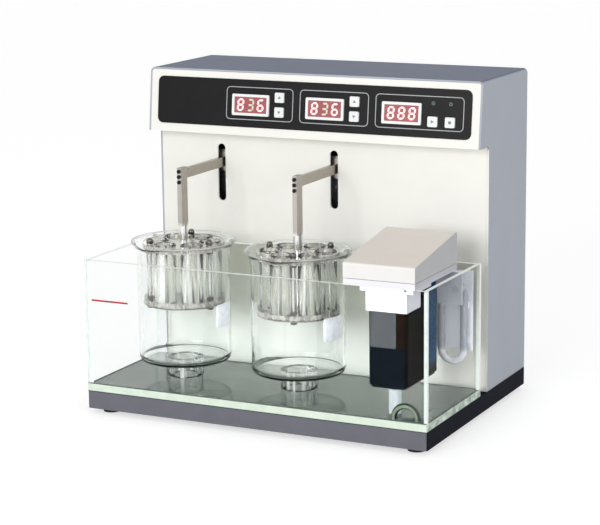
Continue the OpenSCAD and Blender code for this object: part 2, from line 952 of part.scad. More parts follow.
module crank(x) {
    color("silver") {
        difference() {
            bar_y(x, crank_z, crank_d / 2, crank_y, crank_y + crank_t);
            for (a = [0:60:300])
                bar_y(x + crank_hole_ring * cos(crank_turn + 30 + a),
                    crank_z + crank_hole_ring * sin(crank_turn + 30 + a), crank_hole_r,
                    crank_y - over, crank_y + crank_t + over);
        }
        bar_y(x, crank_z, shaft_d / 2 + 3, crank_y + crank_t, crank_y + crank_t + hub_l);
        bar_y(x, crank_z, shaft_d / 2, crank_y + crank_t, motor_y + shaft_l);
        bar_y(x + crank_r * cos(crank_turn), crank_z + crank_r * sin(crank_turn), crank_pin_d / 2,
            yoke_y + yoke_t + pin_gap, crank_y);
    }
}

module left_crank() crank(drive_xs[0]);
module right_crank() crank(drive_xs[1]);

module slider(x) {
    color("lightslategray")
        difference() {
            union() {
                block([x - block_w / 2, slider_y, arm_z - slider_h / 2],
                    [x + block_w / 2, yoke_y, arm_z + slider_h / 2]);
                block([x - yoke_slot_l / 2 - yoke_rim, yoke_y, arm_z - slider_h / 2 + 1],
                    [x + yoke_slot_l / 2 + yoke_rim, yoke_y + yoke_t, arm_z + slider_h / 2 - 1]);
            }
            for (sx = [-1, 1]) {
                bar_z(x + sx * guide_pitch / 2, guide_y, guide_d / 2 + run_gap,
                    arm_z - slider_h / 2 - over, arm_z + slider_h / 2 + over);
                bar_y(x + sx * (yoke_slot_l - yoke_slot_w) / 2, arm_z, yoke_slot_w / 2, yoke_y,
                    yoke_y + yoke_t + over);
            }
            block([x - (yoke_slot_l - yoke_slot_w) / 2, yoke_y, arm_z - yoke_slot_w / 2],
                [x + (yoke_slot_l - yoke_slot_w) / 2, yoke_y + yoke_t + over, arm_z + yoke_slot_w / 2]);
        }
}

module left_slider() slider(drive_xs[0]);
module right_slider() slider(drive_xs[1]);

module arm(x) {
    color("lightgray") {
        block([x - arm_w / 2, basket_y + hanger_d / 2, arm_z - arm_h / 2],
            [x + arm_w / 2, slider_y, arm_z + arm_h / 2]);
        block([x - guide_pitch / 4, slider_y - arm_foot_t, arm_z - slider_h / 2 + arm_foot_in],
            [x + guide_pitch / 4, slider_y, arm_z + slider_h / 2 - arm_foot_in]);
    }
}

module left_arm() arm(drive_xs[0]);
module right_arm() arm(drive_xs[1]);

module hanger(x) {
    color("lightgray")
        difference() {
            union() {
                block([x - arm_w / 2, basket_y - hanger_d / 2, bar_low],
                    [x + arm_w / 2, basket_y + hanger_d / 2, bar_top]);
                bar_z(x, basket_y, collar_d / 2, plate_top, bar_low + collar_in);
                bar_z(x, basket_y, hanger_rod_d / 2, mesh_z, bar_low);
            }
            for (i = [0:2])
                bar_y(x, screw_top - i * screw_pitch, screw_d / 4 + run_gap,
                    basket_y - hanger_d / 2 - over, basket_y + hanger_d / 2 - screw_end + over);
        }
}

module left_hanger() hanger(drive_xs[0]);
module right_hanger() hanger(drive_xs[1]);

module hanger_screws(x) {
    color("black")
        for (i = [0:2]) {
            bar_y(x, screw_top - i * screw_pitch, screw_d / 2,
                basket_y - hanger_d / 2 - screw_head, basket_y - hanger_d / 2);
            bar_y(x, screw_top - i * screw_pitch, screw_d / 4,
                basket_y - hanger_d / 2 - over, basket_y + hanger_d / 2 - screw_end);
        }
}

module left_hanger_screws() hanger_screws(drive_xs[0]);
module right_hanger_screws() hanger_screws(drive_xs[1]);

// ---- baskets ----

// places what is drawn about a basket's rod, with the basket's own turn
module at_basket(i) {
    translate([drive_xs[i], basket_y, 0])
        rotate([0, 0, [left_turn, right_turn][i]])
            children();
}

module post_places() {
    for (a = [0, 120, 240])
        rotate([0, 0, a])
            translate([post_ring, 0, 0])
                children();
}

module tube_places() {
    for (a = [30:60:330])
        rotate([0, 0, a])
            translate([tube_ring, 0, 0])
                children();
}

module basket_plate(i, z) {
    color("azure", 0.5)
        at_basket(i)
            translate([0, 0, z])
                difference() {
                    cylinder(d = plate_d, h = plate_t, $fn = 96);
                    translate([0, 0, -over]) {
                        cylinder(r = hanger_rod_d / 2 + run_gap, h = plate_t + 2 * over);
                        post_places()
                            cylinder(r = post_d / 2 + run_gap, h = plate_t + 2 * over);
                        tube_places()
                            cylinder(r = tube_d / 2 + fit_gap, h = plate_t + 2 * over);
                    }
                }
}

module left_basket_top() basket_plate(0, plate_top - plate_t);
module right_basket_top() basket_plate(1, plate_top - plate_t);
module left_basket_bottom() basket_plate(0, bottom_z);
module right_basket_bottom() basket_plate(1, bottom_z);

module basket_tubes(i) {
    color("lightcyan", 0.4)
        at_basket(i)
            tube_places()
                translate([0, 0, bottom_z])
                    difference() {
                        cylinder(d = tube_d, h = plate_top + tube_over - bottom_z);
                        translate([0, 0, -over])
                            cylinder(r = tube_d / 2 - tube_wall, h = basket_h + 2 * over + tube_over);
                    }
}

module left_basket_tubes() basket_tubes(0);
module right_basket_tubes() basket_tubes(1);

module basket_mesh(i) {
    half = ceil(plate_d / 2 / mesh_pitch);
    color("gray")
        at_basket(i)
            translate([0, 0, mesh_z])
                linear_extrude(mesh_wire)
                    difference() {
                        intersection() {
                            circle(d = plate_d - mesh_rim, $fn = 96);
                            union() {
                                for (j = [-half:half]) {
                                    translate([j * mesh_pitch, 0])
                                        square([mesh_wire, plate_d], center = true);
                                    translate([0, j * mesh_pitch])
                                        square([plate_d, mesh_wire], center = true);
                                }
                                difference() {
                                    circle(d = plate_d - mesh_rim, $fn = 96);
                                    circle(d = plate_d - 3 * mesh_rim, $fn = 96);
                                }
                            }
                        }
                        circle(r = hanger_rod_d / 2 + fit_gap);
                        post_places()
                            circle(r = post_d / 2 + fit_gap);
                    }
}

module left_basket_mesh() basket_mesh(0);
module right_basket_mesh() basket_mesh(1);

module basket_posts(i) {
    nut_zs = [mesh_z - nut_h, bottom_z + plate_t, plate_top - plate_t - nut_h, plate_top];
    color("silver")
        at_basket(i)
            post_places() {
                translate([0, 0, mesh_z - nut_h])
                    cylinder(d = post_d, h = basket_h + 2 * nut_h + post_end);
                for (z = nut_zs)
                    translate([0, 0, z])
                        cylinder(d = nut_d, h = nut_h, $fn = 6);
            }
}

module left_basket_posts() basket_posts(0);
module right_basket_posts() basket_posts(1);

// ---- tank ----

module tank_floor_plate() {
    color("honeydew", 0.7)
        block([-tank_w / 2, tank_y, base_top], [tank_w / 2, tank_y + tank_d, floor_z]);
}

module tank_front_pane() {
    color("lightblue", 0.3)
        block([-tank_w / 2, tank_y, floor_z], [tank_w / 2, tank_y + tank_wall, tank_top]);
}

module tank_rear_pane() {
    color("lightblue", 0.3)
        block([-tank_w / 2, pane_y2, floor_z], [tank_w / 2, pane_y2 + tank_wall, tank_top]);
}

module tank_side_panes() {
    color("lightblue", 0.3)
        for (x = [-tank_w / 2, tank_w / 2 - tank_wall])
            block([x, tank_y + tank_wall, floor_z], [x + tank_wall, pane_y2, tank_top]);
}

module beaker_risers() {
    color("azure", 0.5)
        for (x = drive_xs)
            translate([x, basket_y, floor_z])
                difference() {
                    cylinder(d = riser_d, h = riser_h);
                    translate([0, 0, -over])
                        cylinder(d = riser_d - 2 * riser_wall, h = riser_h + 2 * over);
                }
}

// the section of a beaker from its outer bottom edge over the lip to its inner bottom edge:
// radius, height, and how much of the spout that ring takes
function beaker_section() = let (r = beaker_d / 2, h = beaker_h, f = lip_flare, w = beaker_wall) [
    [r - 7, 0, 0], [r - 2.2, 1.4, 0], [r, 6, 0], [r, h - 20, 0], [r + 0.12 * f, h - 12, 0.1],
    [r + 0.5 * f, h - 5, 0.5], [r + f, h - 1.4, 1], [r + f - 0.6, h - 0.2, 1],
    [r + f - 1.8, h - 0.3, 1], [r + 0.5 * f - w, h - 4.2, 0.5], [r + 0.12 * f - w, h - 12, 0.1],
    [r - w, h - 20, 0], [r - w, beaker_floor + 6, 0], [r - w - 2, beaker_floor + 1.6, 0],
    [r - w - 7, beaker_floor, 0]];

function spout_at(a) = exp(-pow(((a + 540) % 360 - 180) / spout_width, 2));

module beaker(x, turn) {
    rings = beaker_section();
    m = len(rings);
    n = cup_steps;
    walls = [for (ring = rings, j = [0:n - 1]) let (a = 360 * j / n, s = spout_at(a - turn) * ring[2])
        [(ring[0] + spout_out * s) * cos(a), (ring[0] + spout_out * s) * sin(a), ring[1] - 1.5 * s]];
    low = len(walls);
    sides = [for (i = [0:m - 2], j = [0:n - 1]) let (k = (j + 1) % n)
        [i * n + j, (i + 1) * n + j, (i + 1) * n + k, i * n + k]];
    outer_floor = [for (j = [0:n - 1]) [j, (j + 1) % n, low]];
    inner_floor = [for (j = [0:n - 1]) [(m - 1) * n + (j + 1) % n, (m - 1) * n + j, low + 1]];
    color("lightcyan", 0.35)
        translate([x, basket_y, beaker_z])
            polyhedron(concat(walls, [[0, 0, 0], [0, 0, beaker_floor]]),
                concat(sides, outer_floor, inner_floor));
}

module left_beaker() beaker(drive_xs[0], left_spout_turn);
module right_beaker() beaker(drive_xs[1], right_spout_turn);

// ---- heater and pump unit ----

module heater_neck() {
    color("white")
        difference() {
            union() {
                difference() {
                    block([lid_x1, front_y, tank_top], [lid_x2, lid_y2, unit_z]);
                    block([lid_x1 + lid_wall, front_y + lid_wall, tray_z],
                        [lid_x2 - lid_wall, lid_y2 - lid_wall, unit_z + over]);
                }
                block([collar_x1, collar_y1, tank_top - collar_h], [collar_x2, neck_y2, tank_top]);
                block([pump_x - neck_w / 2, neck_y1, neck_z], [pump_x + neck_w / 2, neck_y2, tank_top]);
                block([skirt_x1, skirt_y, tank_top - skirt_h], [skirt_x2, skirt_y + skirt_t, tank_top]);
                for (x = ear_xs) {
                    translate([x, hinge_y, hinge_z])
                        rotate([0, 90, 0])
                            cylinder(r = ear_r, h = ear_t);
                    block([x, hinge_y - ear_r, tray_z - over], [x + ear_t, hinge_y + ear_r, hinge_z]);
                }
            }
            block([pump_x - neck_w / 2 + neck_wall, neck_y1 + neck_wall, neck_z + neck_wall],
                [pump_x + neck_w / 2 - neck_wall, neck_y2 - neck_wall, unit_z + over]);
            bar_y(collar_hole_x, tank_top - collar_h / 2, collar_hole_r, collar_y1 - over,
                collar_y1 + 2 * collar_hole_r);
            for (x = [lid_x1, lid_x2 - lid_wall - ear_gap - ear_t - over])
                translate([x, hinge_y, hinge_z])
                    rotate([0, 90, 0])
                        cylinder(r = lid_pin_r + run_gap, h = lid_wall + ear_gap + ear_t + over);
            for (sx = [-1, 1])
                bar_y(heater_x + sx * heater_pitch / 2, heater_top, heater_d / 2 + run_gap,
                    skirt_y - over, skirt_y + skirt_t + over);
        }
}

// the lid's side, drawn in Y and Z: the back corner is rounded about the hinge
function lid_side(inset) = let (
    low = lid_z - (inset > 0 ? over : 0),
    front_low = [front_y + inset, low],
    front_top = [front_y + inset, lid_z + lid_front_h - inset],
    back_top = [lid_y2 - inset, lid_z + lid_back_h - inset],
    back_low = [lid_y2 - inset, low],
    r = lid_edge_r - min(inset, lid_edge_r / 2)) concat(
    [front_low],
    inset > 0 ? [back_low] : arc([hinge_y, hinge_z], hinge_r, -90, 0),
    fillet(back_low, back_top, front_top, r),
    fillet(back_top, front_top, front_low, r));

module heater_lid() {
    color("linen") {
        difference() {
            along(lid_x1, lid_x2)
                polygon(lid_side(0));
            along(lid_x1 + lid_wall, lid_x2 - lid_wall)
                polygon(lid_side(lid_wall));
            for (x = ear_xs)
                block([x - ear_gap, hinge_y, lid_z - over],
                    [x + ear_t + ear_gap, lid_y2 + over, hinge_z + ear_r + ear_gap]);
        }
        for (x = [lid_x1 + lid_wall / 2, lid_x2 - lid_wall - ear_gap - ear_t])
            translate([x, hinge_y, hinge_z])
                rotate([0, 90, 0])
                    cylinder(r = lid_pin_r, h = lid_wall / 2 + ear_gap + ear_t);
    }
}

module pump_body() {
    color([0.08, 0.1, 0.16])
        difference() {
            translate([pump_x, (pump_y1 + pump_y2) / 2, pump_z])
                linear_extrude(tank_top - pump_z)
                    polygon(round_box(pump_w, pump_d, pump_r));
            block([pump_x - pump_w, pump_y1 - over, neck_z - fit_gap],
                [pump_x + pump_w, neck_y2 + fit_gap, tank_top + over]);
            difference() {
                translate([pump_x, (pump_y1 + pump_y2) / 2, pump_z + seam_h])
                    linear_extrude(seam_w)
                        polygon(round_box(pump_w + 2 * over, pump_d + 2 * over, pump_r));
                translate([pump_x, (pump_y1 + pump_y2) / 2, pump_z + seam_h - over])
                    linear_extrude(seam_w + 2 * over)
                        polygon(round_box(pump_w - 2 * seam_in, pump_d - 2 * seam_in, pump_r - seam_in));
            }
            bar_z(pump_x, impeller_y, impeller_d / 2 + chamber_gap, pump_z - over,
                pump_z + chamber_h);
            bar_z(pump_x, impeller_y, axle_r + run_gap, pump_z, pump_z + chamber_h + axle_l + 2);
        }
}

module pump_cover() {
    foot_x = pump_x + foot_pipe_d / 2 - 1;
    foot_y = pump_y1 + foot_pipe_d / 2 + 2;
    color("whitesmoke")
        difference() {
            union() {
                translate([pump_x, (pump_y1 + pump_y2) / 2, pump_z - cover_plate_t])
                    linear_extrude(cover_plate_t)
                        polygon(round_box(pump_w - 4, pump_d - 4, pump_r - 1));
                bar_z(foot_x, foot_y, foot_pipe_d / 2, floor_z, pump_z - 1);
            }
            for (a = [0:60:300])
                bar_z(pump_x + intake_ring * cos(a), impeller_y + intake_ring * sin(a), intake_r,
                    pump_z - cover_plate_t - over, pump_z + over);
        }
}

module pump_impeller() {
    color("white")
        translate([pump_x, impeller_y, pump_z + impeller_gap]) {
            cylinder(r = hub_r, h = impeller_h);
            for (a = [0:60:300])
                rotate([0, 0, a])
                    translate([0, -blade_t / 2, 0])
                        cube([impeller_d / 2, blade_t, impeller_h - 3]);
            cylinder(r = axle_r, h = chamber_h + axle_l - impeller_gap - 0.5);
        }
}

module heater_element() {
    leg_low = heater_low + heater_d / 2 + heater_pitch / 2;
    color("silver") {
        translate([heater_x, heater_y, leg_low])
            rotate([90, 0, 0])
                rotate_extrude(angle = -180)
                    translate([heater_pitch / 2, 0])
                        circle(d = heater_d, $fn = 32);
        for (sx = [-1, 1]) {
            x = heater_x + sx * heater_pitch / 2;
            bar_z(x, heater_y, heater_d / 2, leg_low, heater_top - heater_bend);
            translate([x, heater_y - heater_bend, heater_top - heater_bend])
                rotate([90, 0, 90])
                    rotate_extrude(angle = 90)
                        translate([heater_bend, 0])
                            circle(d = heater_d, $fn = 32);
            bar_y(x, heater_top, heater_d / 2, skirt_y, heater_y - heater_bend);
            bar_y(x, heater_top, heater_d / 2 + nut_rim, skirt_y + skirt_t,
                skirt_y + skirt_t + heater_nut_t);
            for (z = [guard_low + saddle_h, heater_top - heater_bend - 2 * saddle_h])
                block([x - saddle_w / 2, heater_y, z], [x + saddle_w / 2, guard_y, z + saddle_h]);
        }
        block([guard_x1, guard_y, guard_low], [skirt_x2, guard_y + guard_t, guard_top]);
    }
}

module temperature_probe() {
    probe_y = pump_y2 + sleeve_r + 0.3;
    color("silver") {
        bar_z(pump_x - probe_in, probe_y, probe_r, floor_z + probe_low, tank_top);
        bar_z(pump_x - probe_in, probe_y, sleeve_r, tank_top - sleeve_h, tank_top);
    }
}

module circulation_hose() {
    hose_x = tank_w / 2 - tank_wall - hose_r - hose_d / 2 - hose_in;
    hose_y = tank_y + tank_wall + hose_d / 2 + hose_set;
    color("whitesmoke", 0.7) {
        translate([hose_x, hose_y, floor_z + hose_foot_t])
            rotate([90, 0, 0])
                rotate_extrude(angle = 180)
                    translate([hose_r, 0])
                        difference() {
                            circle(d = hose_d, $fn = 32);
                            circle(d = hose_d - 2 * hose_wall, $fn = 32);
                        }
        for (sx = [-1, 1])
            bar_z(hose_x + sx * hose_r, hose_y, hose_d / 2 + hose_rim, floor_z, floor_z + hose_foot_t);
    }
}

base_plate();
rubber_feet();
case_screws();
cabinet_shell();
column_panel();
head_fascia();
control_overlay();
display_bezels();
display_modules();
control_board();
temp_up_button();
temp_down_button();
time_up_button();
time_down_button();
start_button();
stop_button();
rear_cover();
power_inlet();
power_rocker();
power_supply();
chassis_plate();
guide_blocks();
guide_rods();
left_gear_motor();
right_gear_motor();
left_crank();
right_crank();
left_slider();
right_slider();
left_arm();
right_arm();
left_hanger();
right_hanger();
left_hanger_screws();
right_hanger_screws();
left_basket_top();
right_basket_top();
left_basket_bottom();
right_basket_bottom();
left_basket_tubes();
right_basket_tubes();
left_basket_mesh();
right_basket_mesh();
left_basket_posts();
right_basket_posts();
tank_floor_plate();
tank_front_pane();
tank_rear_pane();
tank_side_panes();
beaker_risers();
left_beaker();
right_beaker();
heater_neck();
heater_lid();
pump_body();
pump_cover();
pump_impeller();
heater_element();
temperature_probe();
circulation_hose();
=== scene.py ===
"""Looks of the tablet disintegration tester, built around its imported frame."""
import math

import bmesh
import bpy
from mathutils import Matrix, Vector


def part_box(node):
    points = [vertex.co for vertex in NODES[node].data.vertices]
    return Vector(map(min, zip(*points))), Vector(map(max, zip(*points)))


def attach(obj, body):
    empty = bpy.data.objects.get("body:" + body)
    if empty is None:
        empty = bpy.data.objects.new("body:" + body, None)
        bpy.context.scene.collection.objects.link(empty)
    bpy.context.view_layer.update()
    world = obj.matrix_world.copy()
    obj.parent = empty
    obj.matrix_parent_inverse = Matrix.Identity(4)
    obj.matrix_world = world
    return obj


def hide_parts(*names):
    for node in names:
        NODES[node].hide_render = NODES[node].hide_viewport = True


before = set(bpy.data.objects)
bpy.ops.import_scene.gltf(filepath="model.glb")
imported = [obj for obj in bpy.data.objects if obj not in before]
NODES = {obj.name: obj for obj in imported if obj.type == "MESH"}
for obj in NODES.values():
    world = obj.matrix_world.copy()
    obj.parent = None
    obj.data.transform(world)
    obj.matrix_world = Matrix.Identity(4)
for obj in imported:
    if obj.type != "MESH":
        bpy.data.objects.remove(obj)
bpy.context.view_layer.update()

MM = 0.001
SIDES = ("left", "right")
X, Y, Z = 0, 1, 2


def low(node, axis):
    """The lowest coordinate of a node along an axis, in millimetres."""
    return round(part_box(node)[0][axis] / MM, 2)


def high(node, axis):
    """The highest coordinate of a node along an axis, in millimetres."""
    return round(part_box(node)[1][axis] / MM, 2)


def middle_of(node, axis):
    return round((low(node, axis) + high(node, axis)) / 2, 2)


# ---- sizes, in millimetres and degrees ----

# head face, which leans back, and what is printed or set on it
HEAD_Y, HEAD_Z = low("head_fascia", Y), low("head_fascia", Z)
HEAD_LEAN, HEAD_H = 8.0, 74.0
LEAN = math.atan2(HEAD_LEAN, HEAD_H)
FACE_MID = math.hypot(HEAD_LEAN, HEAD_H) / 2
OVERLAY_T = 0.8
GROUP_X = (-63.6, 30.7, 135.25)
GROUP_W = (86.0, 86.0, 106.5)
GROUP_H, GROUP_CORNER, GROUP_LINE = 38.0, 5.0, 0.9
DISPLAY_X = (GROUP_X[0] - 11, GROUP_X[1] - 11, GROUP_X[2] - 21)
DISPLAY_UP = FACE_MID - 1.7
DISPLAY_OUT = 2.0
DIGIT_W, DIGIT_H, DIGIT_PITCH, DIGIT_SLANT = 8.6, 14.4, 12.8, 0.1
SEGMENT, SEGMENT_GAP, SEGMENT_SHOULDER = 2.2, 0.25, 0.5
SETTING_SET, SETTING_RISE = 26.0, 8.4
RUN_SET, RUN_PITCH, RUN_DROP, LAMP_RISE = 27.0, 20.8, 9.4, 11.0
RUN_X = (GROUP_X[2] + RUN_SET - RUN_PITCH / 2, GROUP_X[2] + RUN_SET + RUN_PITCH / 2)
BUTTONS = {
    "temp_up_button": (GROUP_X[0] + SETTING_SET, FACE_MID + SETTING_RISE),
    "temp_down_button": (GROUP_X[0] + SETTING_SET, FACE_MID - SETTING_RISE),
    "time_up_button": (GROUP_X[1] + SETTING_SET, FACE_MID + SETTING_RISE),
    "time_down_button": (GROUP_X[1] + SETTING_SET, FACE_MID - SETTING_RISE),
    "start_button": (RUN_X[0], FACE_MID - RUN_DROP),
    "stop_button": (RUN_X[1], FACE_MID - RUN_DROP),
}
BUTTON_OUT = 2.8
LAMPS = [(x, FACE_MID + LAMP_RISE) for x in RUN_X]
LAMP_R = 2.1

# beakers
DRIVE_X = {side: middle_of(side + "_slider", X) for side in SIDES}
BASKET_Y = middle_of("left_hanger", Y)
BEAKER_Z = low("left_beaker", Z)
BEAKER_R, BEAKER_H, BEAKER_WALL, BEAKER_FLOOR = 53.5, 140.0, 2.4, 3.0
LIP_FLARE, SPOUT_OUT, SPOUT_DROP, SPOUT_WIDTH = 7.0, 6.0, 1.5, 17.0
SPOUT_TURN = {"left": 258.0, "right": 276.0}
# where each beaker carries its painted reflection of a lamp
PATCH_TURN = {"left": 358.0, "right": 344.0}
PATCH_W, PATCH_H, PATCH_Z, PATCH_CORNER = 32.0, 27.0, 111.0, 3.0
PATCH_IN, PATCH_OUT = 0.02, 0.12

# basket racks
TUBE_R, TUBE_WALL, TUBE_RING = 12.7, 1.9, 31.0
TUBE_LOW, TUBE_TOP = low("left_basket_tubes", Z), high("left_basket_tubes", Z)
BASKET_TURN = {"left": 106.0, "right": 49.0}
POST_R, POST_RING = 2.0, 40.0
POST_LOW, POST_TOP = low("left_basket_posts", Z), high("left_basket_posts", Z)
NUT_R, NUT_H, NUT_CHAMFER = 4.0, 3.5, 0.5
NUT_LOWS = (POST_LOW, high("left_basket_bottom", Z), low("left_basket_top", Z) - NUT_H,
            high("left_basket_top", Z))
MESH_Z, MESH_R, MESH_RIM = middle_of("left_basket_mesh", Z), 46.0, 2.0
WIRE_PITCH, WIRE_R, WIRE_COUNT = 2.4, 0.25, 37
TUBE_STEPS, RIM_STEPS, WIRE_STEPS, WIRE_SIDES = 64, 96, 114, 5

# tank
TANK_FRONT_Y = low("tank_front_pane", Y)
FLOOR_LOW = low("tank_floor_plate", Z)
LEVEL_X, LEVEL_Z, LEVEL_H, LEVEL_T = (-200.9, -153.7), 133.4, 2.0, 0.15

# where a finish changes its colour
COLUMN_EDGE_X = 200.0
SKIRT_FRONT_Y, SKIRT_TOP = -43.0, 177.0
PIPE_TOP = 62.0
PUMP_SEAM, PUMP_WINDOW_X, PUMP_WINDOW_TOP = 108.0, 164.6, 148.0
PUMP_BACK_Y, PUMP_BACK_Z = (-76.0, -66.0), (70.0, 82.0)
HANGER_ROD_TOP, BEND_TOP, SHIELD_FRONT_Y = 208.0, 80.0, -9.0
# heights over which the back pane turns to its painted shade
PANE_SHADE_Z = (55.0, 155.0)


# ---- materials ----

def srgb(red, green, blue):
    """A colour picked on a screen, 0 to 255, as the shaders want it."""
    def linear(c):
        c /= 255
        return c / 12.92 if c <= 0.04045 else ((c + 0.055) / 1.055) ** 2.4
    return (linear(red), linear(green), linear(blue), 1.0)


class Value:
    """A shader socket that takes part in Python's arithmetic."""

    def __init__(self, nodes, socket):
        self.nodes, self.socket = nodes, socket

    def __add__(self, other):
        return self.nodes.calc("ADD", self, other)

    def __sub__(self, other):
        return self.nodes.calc("SUBTRACT", self, other)

    def __rsub__(self, other):
        return self.nodes.calc("SUBTRACT", other, self)

    def __mul__(self, other):
        return self.nodes.calc("MULTIPLY", self, other)

    def __neg__(self):
        return self.nodes.calc("SUBTRACT", 0.0, self)

    def __abs__(self):
        return self.nodes.calc("ABSOLUTE", self, 0.0)

    __radd__ = __add__
    __rmul__ = __mul__

    def rise(self, start, end):
        """0 below start, 1 above end, and smooth between."""
        return self.nodes.node("MapRange", {"interpolation_type": "SMOOTHSTEP"},
                               {0: self, 1: start, 2: end, 3: 0.0, 4: 1.0})

    def fall(self, start, end):
        """1 below start, 0 above end, and smooth between."""
        return 1.0 - self.rise(start, end)

    def within(self, start, end, soft=0.4):
        """1 between start and end, and 0 outside them."""
        return self.rise(start - soft, start + soft) * self.fall(end - soft, end + soft)


class Nodes:
    """A shader tree whose nodes are made by Python expressions."""

    def __init__(self, tree):
        self.tree = tree

    def node(self, kind, settings=(), sockets=(), out=0):
        """Any node: its type, its settings, its sockets' values or links, and the output wanted."""
        made = self.tree.nodes.new("ShaderNode" + kind)
        for key, value in dict(settings).items():
            setattr(made, key, value)
        for key, value in dict(sockets).items():
            if isinstance(value, Value):
                self.tree.links.new(value.socket, made.inputs[key])
            else:
                made.inputs[key].default_value = value
        return Value(self, made.outputs[out])

    def calc(self, operation, a, b):
        return self.node("Math", {"operation": operation}, {0: a, 1: b})

    def mix(self, share, a, b):
        """Colour a where share is 0, and b where it is 1."""
        return self.node("Mix", {"data_type": "RGBA"}, {0: share, 6: a, 7: b}, out=2)

    def sees_white(self):
        """1 for rays that look at the white background, 0 for rays that light the object."""
        camera, glossy, through = (
            self.node("LightPath", out="Is %s Ray" % kind)
            for kind in ("Camera", "Glossy", "Transmission"))
        return self.calc("MAXIMUM", self.calc("MAXIMUM", camera, glossy), through)


class Finish(Nodes):
    """A material: one Principled shader and the nodes that vary it over a surface."""

    def __init__(self, name, **fixed):
        self.material = bpy.data.materials.new(name)
        self.material.use_nodes = True
        super().__init__(self.material.node_tree)
        self.shader = self.tree.nodes["Principled BSDF"]
        self.surface = self.tree.nodes["Material Output"].inputs["Surface"]
        for key, value in fixed.items():
            self.set(key.replace("_", " ").title().replace("Ior", "IOR"), value)

    def set(self, name, value):
        """Gives one of the shader's sockets a constant or a Value."""
        socket = self.shader.inputs[name]
        if isinstance(value, Value):
            self.tree.links.new(value.socket, socket)
        else:
            socket.default_value = value
        return self

    def place(self, stretch=(1, 1, 1)):
        here = self.node("TexCoord", out="Object")
        return self.node("Mapping", {}, {"Vector": here, "Scale": stretch})

    def noise(self, size, detail=2.0, stretch=(1, 1, 1)):
        """Cloudy noise from 0 to 1 whose clouds are about size millimetres wide."""
        return self.node("TexNoise", {}, {
            "Vector": self.place(stretch), "Scale": 1 / (size * MM), "Detail": detail})

    def cells(self, size):
        return self.node("TexVoronoi", {}, {"Vector": self.place(), "Scale": 1 / (size * MM)})

    def shades(self, dark, light, size, detail=3.0, stretch=(1, 1, 1)):
        """A colour that drifts between two shades, in clouds of size millimetres."""
        return self.mix(self.noise(size, detail, stretch), srgb(*dark), srgb(*light))

    def facing(self, axis):
        """How far the surface faces along X, Y or Z of its own object, -1 to 1."""
        own = self.node("TexCoord", out="Normal")
        return self.node("SeparateXYZ", {}, {0: own}, out=axis)

    def at(self, axis):
        """The place along X, Y or Z in millimetres."""
        here = self.node("TexCoord", out="Object")
        return self.node("SeparateXYZ", {}, {0: here}, out=axis) * 1000.0

    def bump(self, height, depth, strength):
        """Raises the surface by height, 0 to 1, times depth in millimetres."""
        normal = self.node("Bump", {}, {
            "Height": height, "Distance": depth * MM, "Strength": strength})
        return self.set("Normal", normal)

    def lit_through(self):
        """Lets the light of lamps reach what stands behind clear material."""
        shadow = self.node("LightPath", out="Is Shadow Ray")
        passing = self.node("BsdfTransparent", {}, {"Color": (0.97, 0.98, 0.98, 1)})
        return self.cover(shadow, Value(self, self.shader.outputs[0]), passing)

    def pale_over(self, share, colour, roughness=0.35, glow=0.0):
        """Mixes a pale, opaque surface over a clear finish by a share, 0 to 1."""
        pale = self.node("BsdfPrincipled", {}, {
            "Base Color": colour, "Roughness": roughness,
            "Emission Color": (1, 1, 1, 1), "Emission Strength": glow})
        return self.cover(share, Value(self, self.surface.links[0].from_socket), pale)

    def cover(self, share, under, over):
        """Shows one shader where share is 0, and another over it where it is 1."""
        mixed = self.node("MixShader", {}, {0: share, 1: under, 2: over})
        self.tree.links.new(mixed.socket, self.surface)
        return self


def wrap_coat():
    """Grey powder coat, with painted shade that makes its top dark blue-grey, and white on the
    column's front edge.
    """
    f = Finish("wrap_coat", specular_ior_level=0.2)
    side = f.shades((170, 176, 187), (179, 184, 194), 60)
    # painted shade: the top is darker and bluer than the sides, for the little light that falls on
    # it
    top = f.shades((86, 95, 117), (97, 106, 128), 60)
    colour = f.mix(f.facing("Z").rise(0.6, 0.9), side, top)
    column_edge = (f.at("X").rise(COLUMN_EDGE_X, COLUMN_EDGE_X + 3)
                   * f.at("Z").fall(HEAD_Z - 5, HEAD_Z - 2))
    front = (-f.facing("Y")).rise(0.8, 0.95) * column_edge
    f.set("Base Color", f.mix(front, colour, srgb(244, 243, 238)))
    f.set("Roughness", f.noise(3) * 0.12 + 0.44)
    return f.bump(f.noise(0.9), 0.05, 0.5)


def white_coat():
    f = Finish("white_coat", specular_ior_level=0.3)
    f.set("Base Color", f.shades((238, 237, 231), (246, 245, 239), 45))
    f.set("Roughness", f.noise(4) * 0.1 + 0.4)
    return f.bump(f.noise(1.1), 0.035, 0.4)


def facing_shaded_coat(name, front, side, top, roughness, grain):
    """A moulded finish with painted light and shade: its front, its sides and its top each in their
    own tone, the sides shaded, as the light falls on them.
    """
    f = Finish(name, specular_ior_level=0.3)
    # painted light and shade: the darker sides stand for shade, the front and the top for the light
    # on them
    side_painted_shade, front_painted_light, top_painted_light = [
        f.shades([c - 3 for c in tone], [c + 3 for c in tone], 18)
        for tone in (side, front, top)]
    colour = f.mix((-f.facing("Y")).rise(0.5, 0.8), side_painted_shade, front_painted_light)
    f.set("Base Color", f.mix(f.facing("Z").rise(0.6, 0.85), colour, top_painted_light))
    f.set("Roughness", f.noise(3) * 0.1 + (roughness - 0.05))
    return f.bump(f.noise(grain), 0.03, 0.45)


def neck_coat():
    """White moulding, with painted shade on its sides, whose heater skirt at the back is grey."""
    f = facing_shaded_coat("neck_white", (238, 238, 242), (178, 178, 186), (226, 226, 232), 0.35, 0.8)
    # the white here carries the painted shade of the sides
    white = Value(f, f.shader.inputs["Base Color"].links[0].from_socket)
    skirt = (f.at("Y").rise(SKIRT_FRONT_Y, SKIRT_FRONT_Y + 1.5)
             * f.at("Z").fall(SKIRT_TOP, SKIRT_TOP + 1.5))
    f.set("Base Color", f.mix(skirt, white, f.shades((144, 148, 155), (154, 158, 165), 14)))
    return f


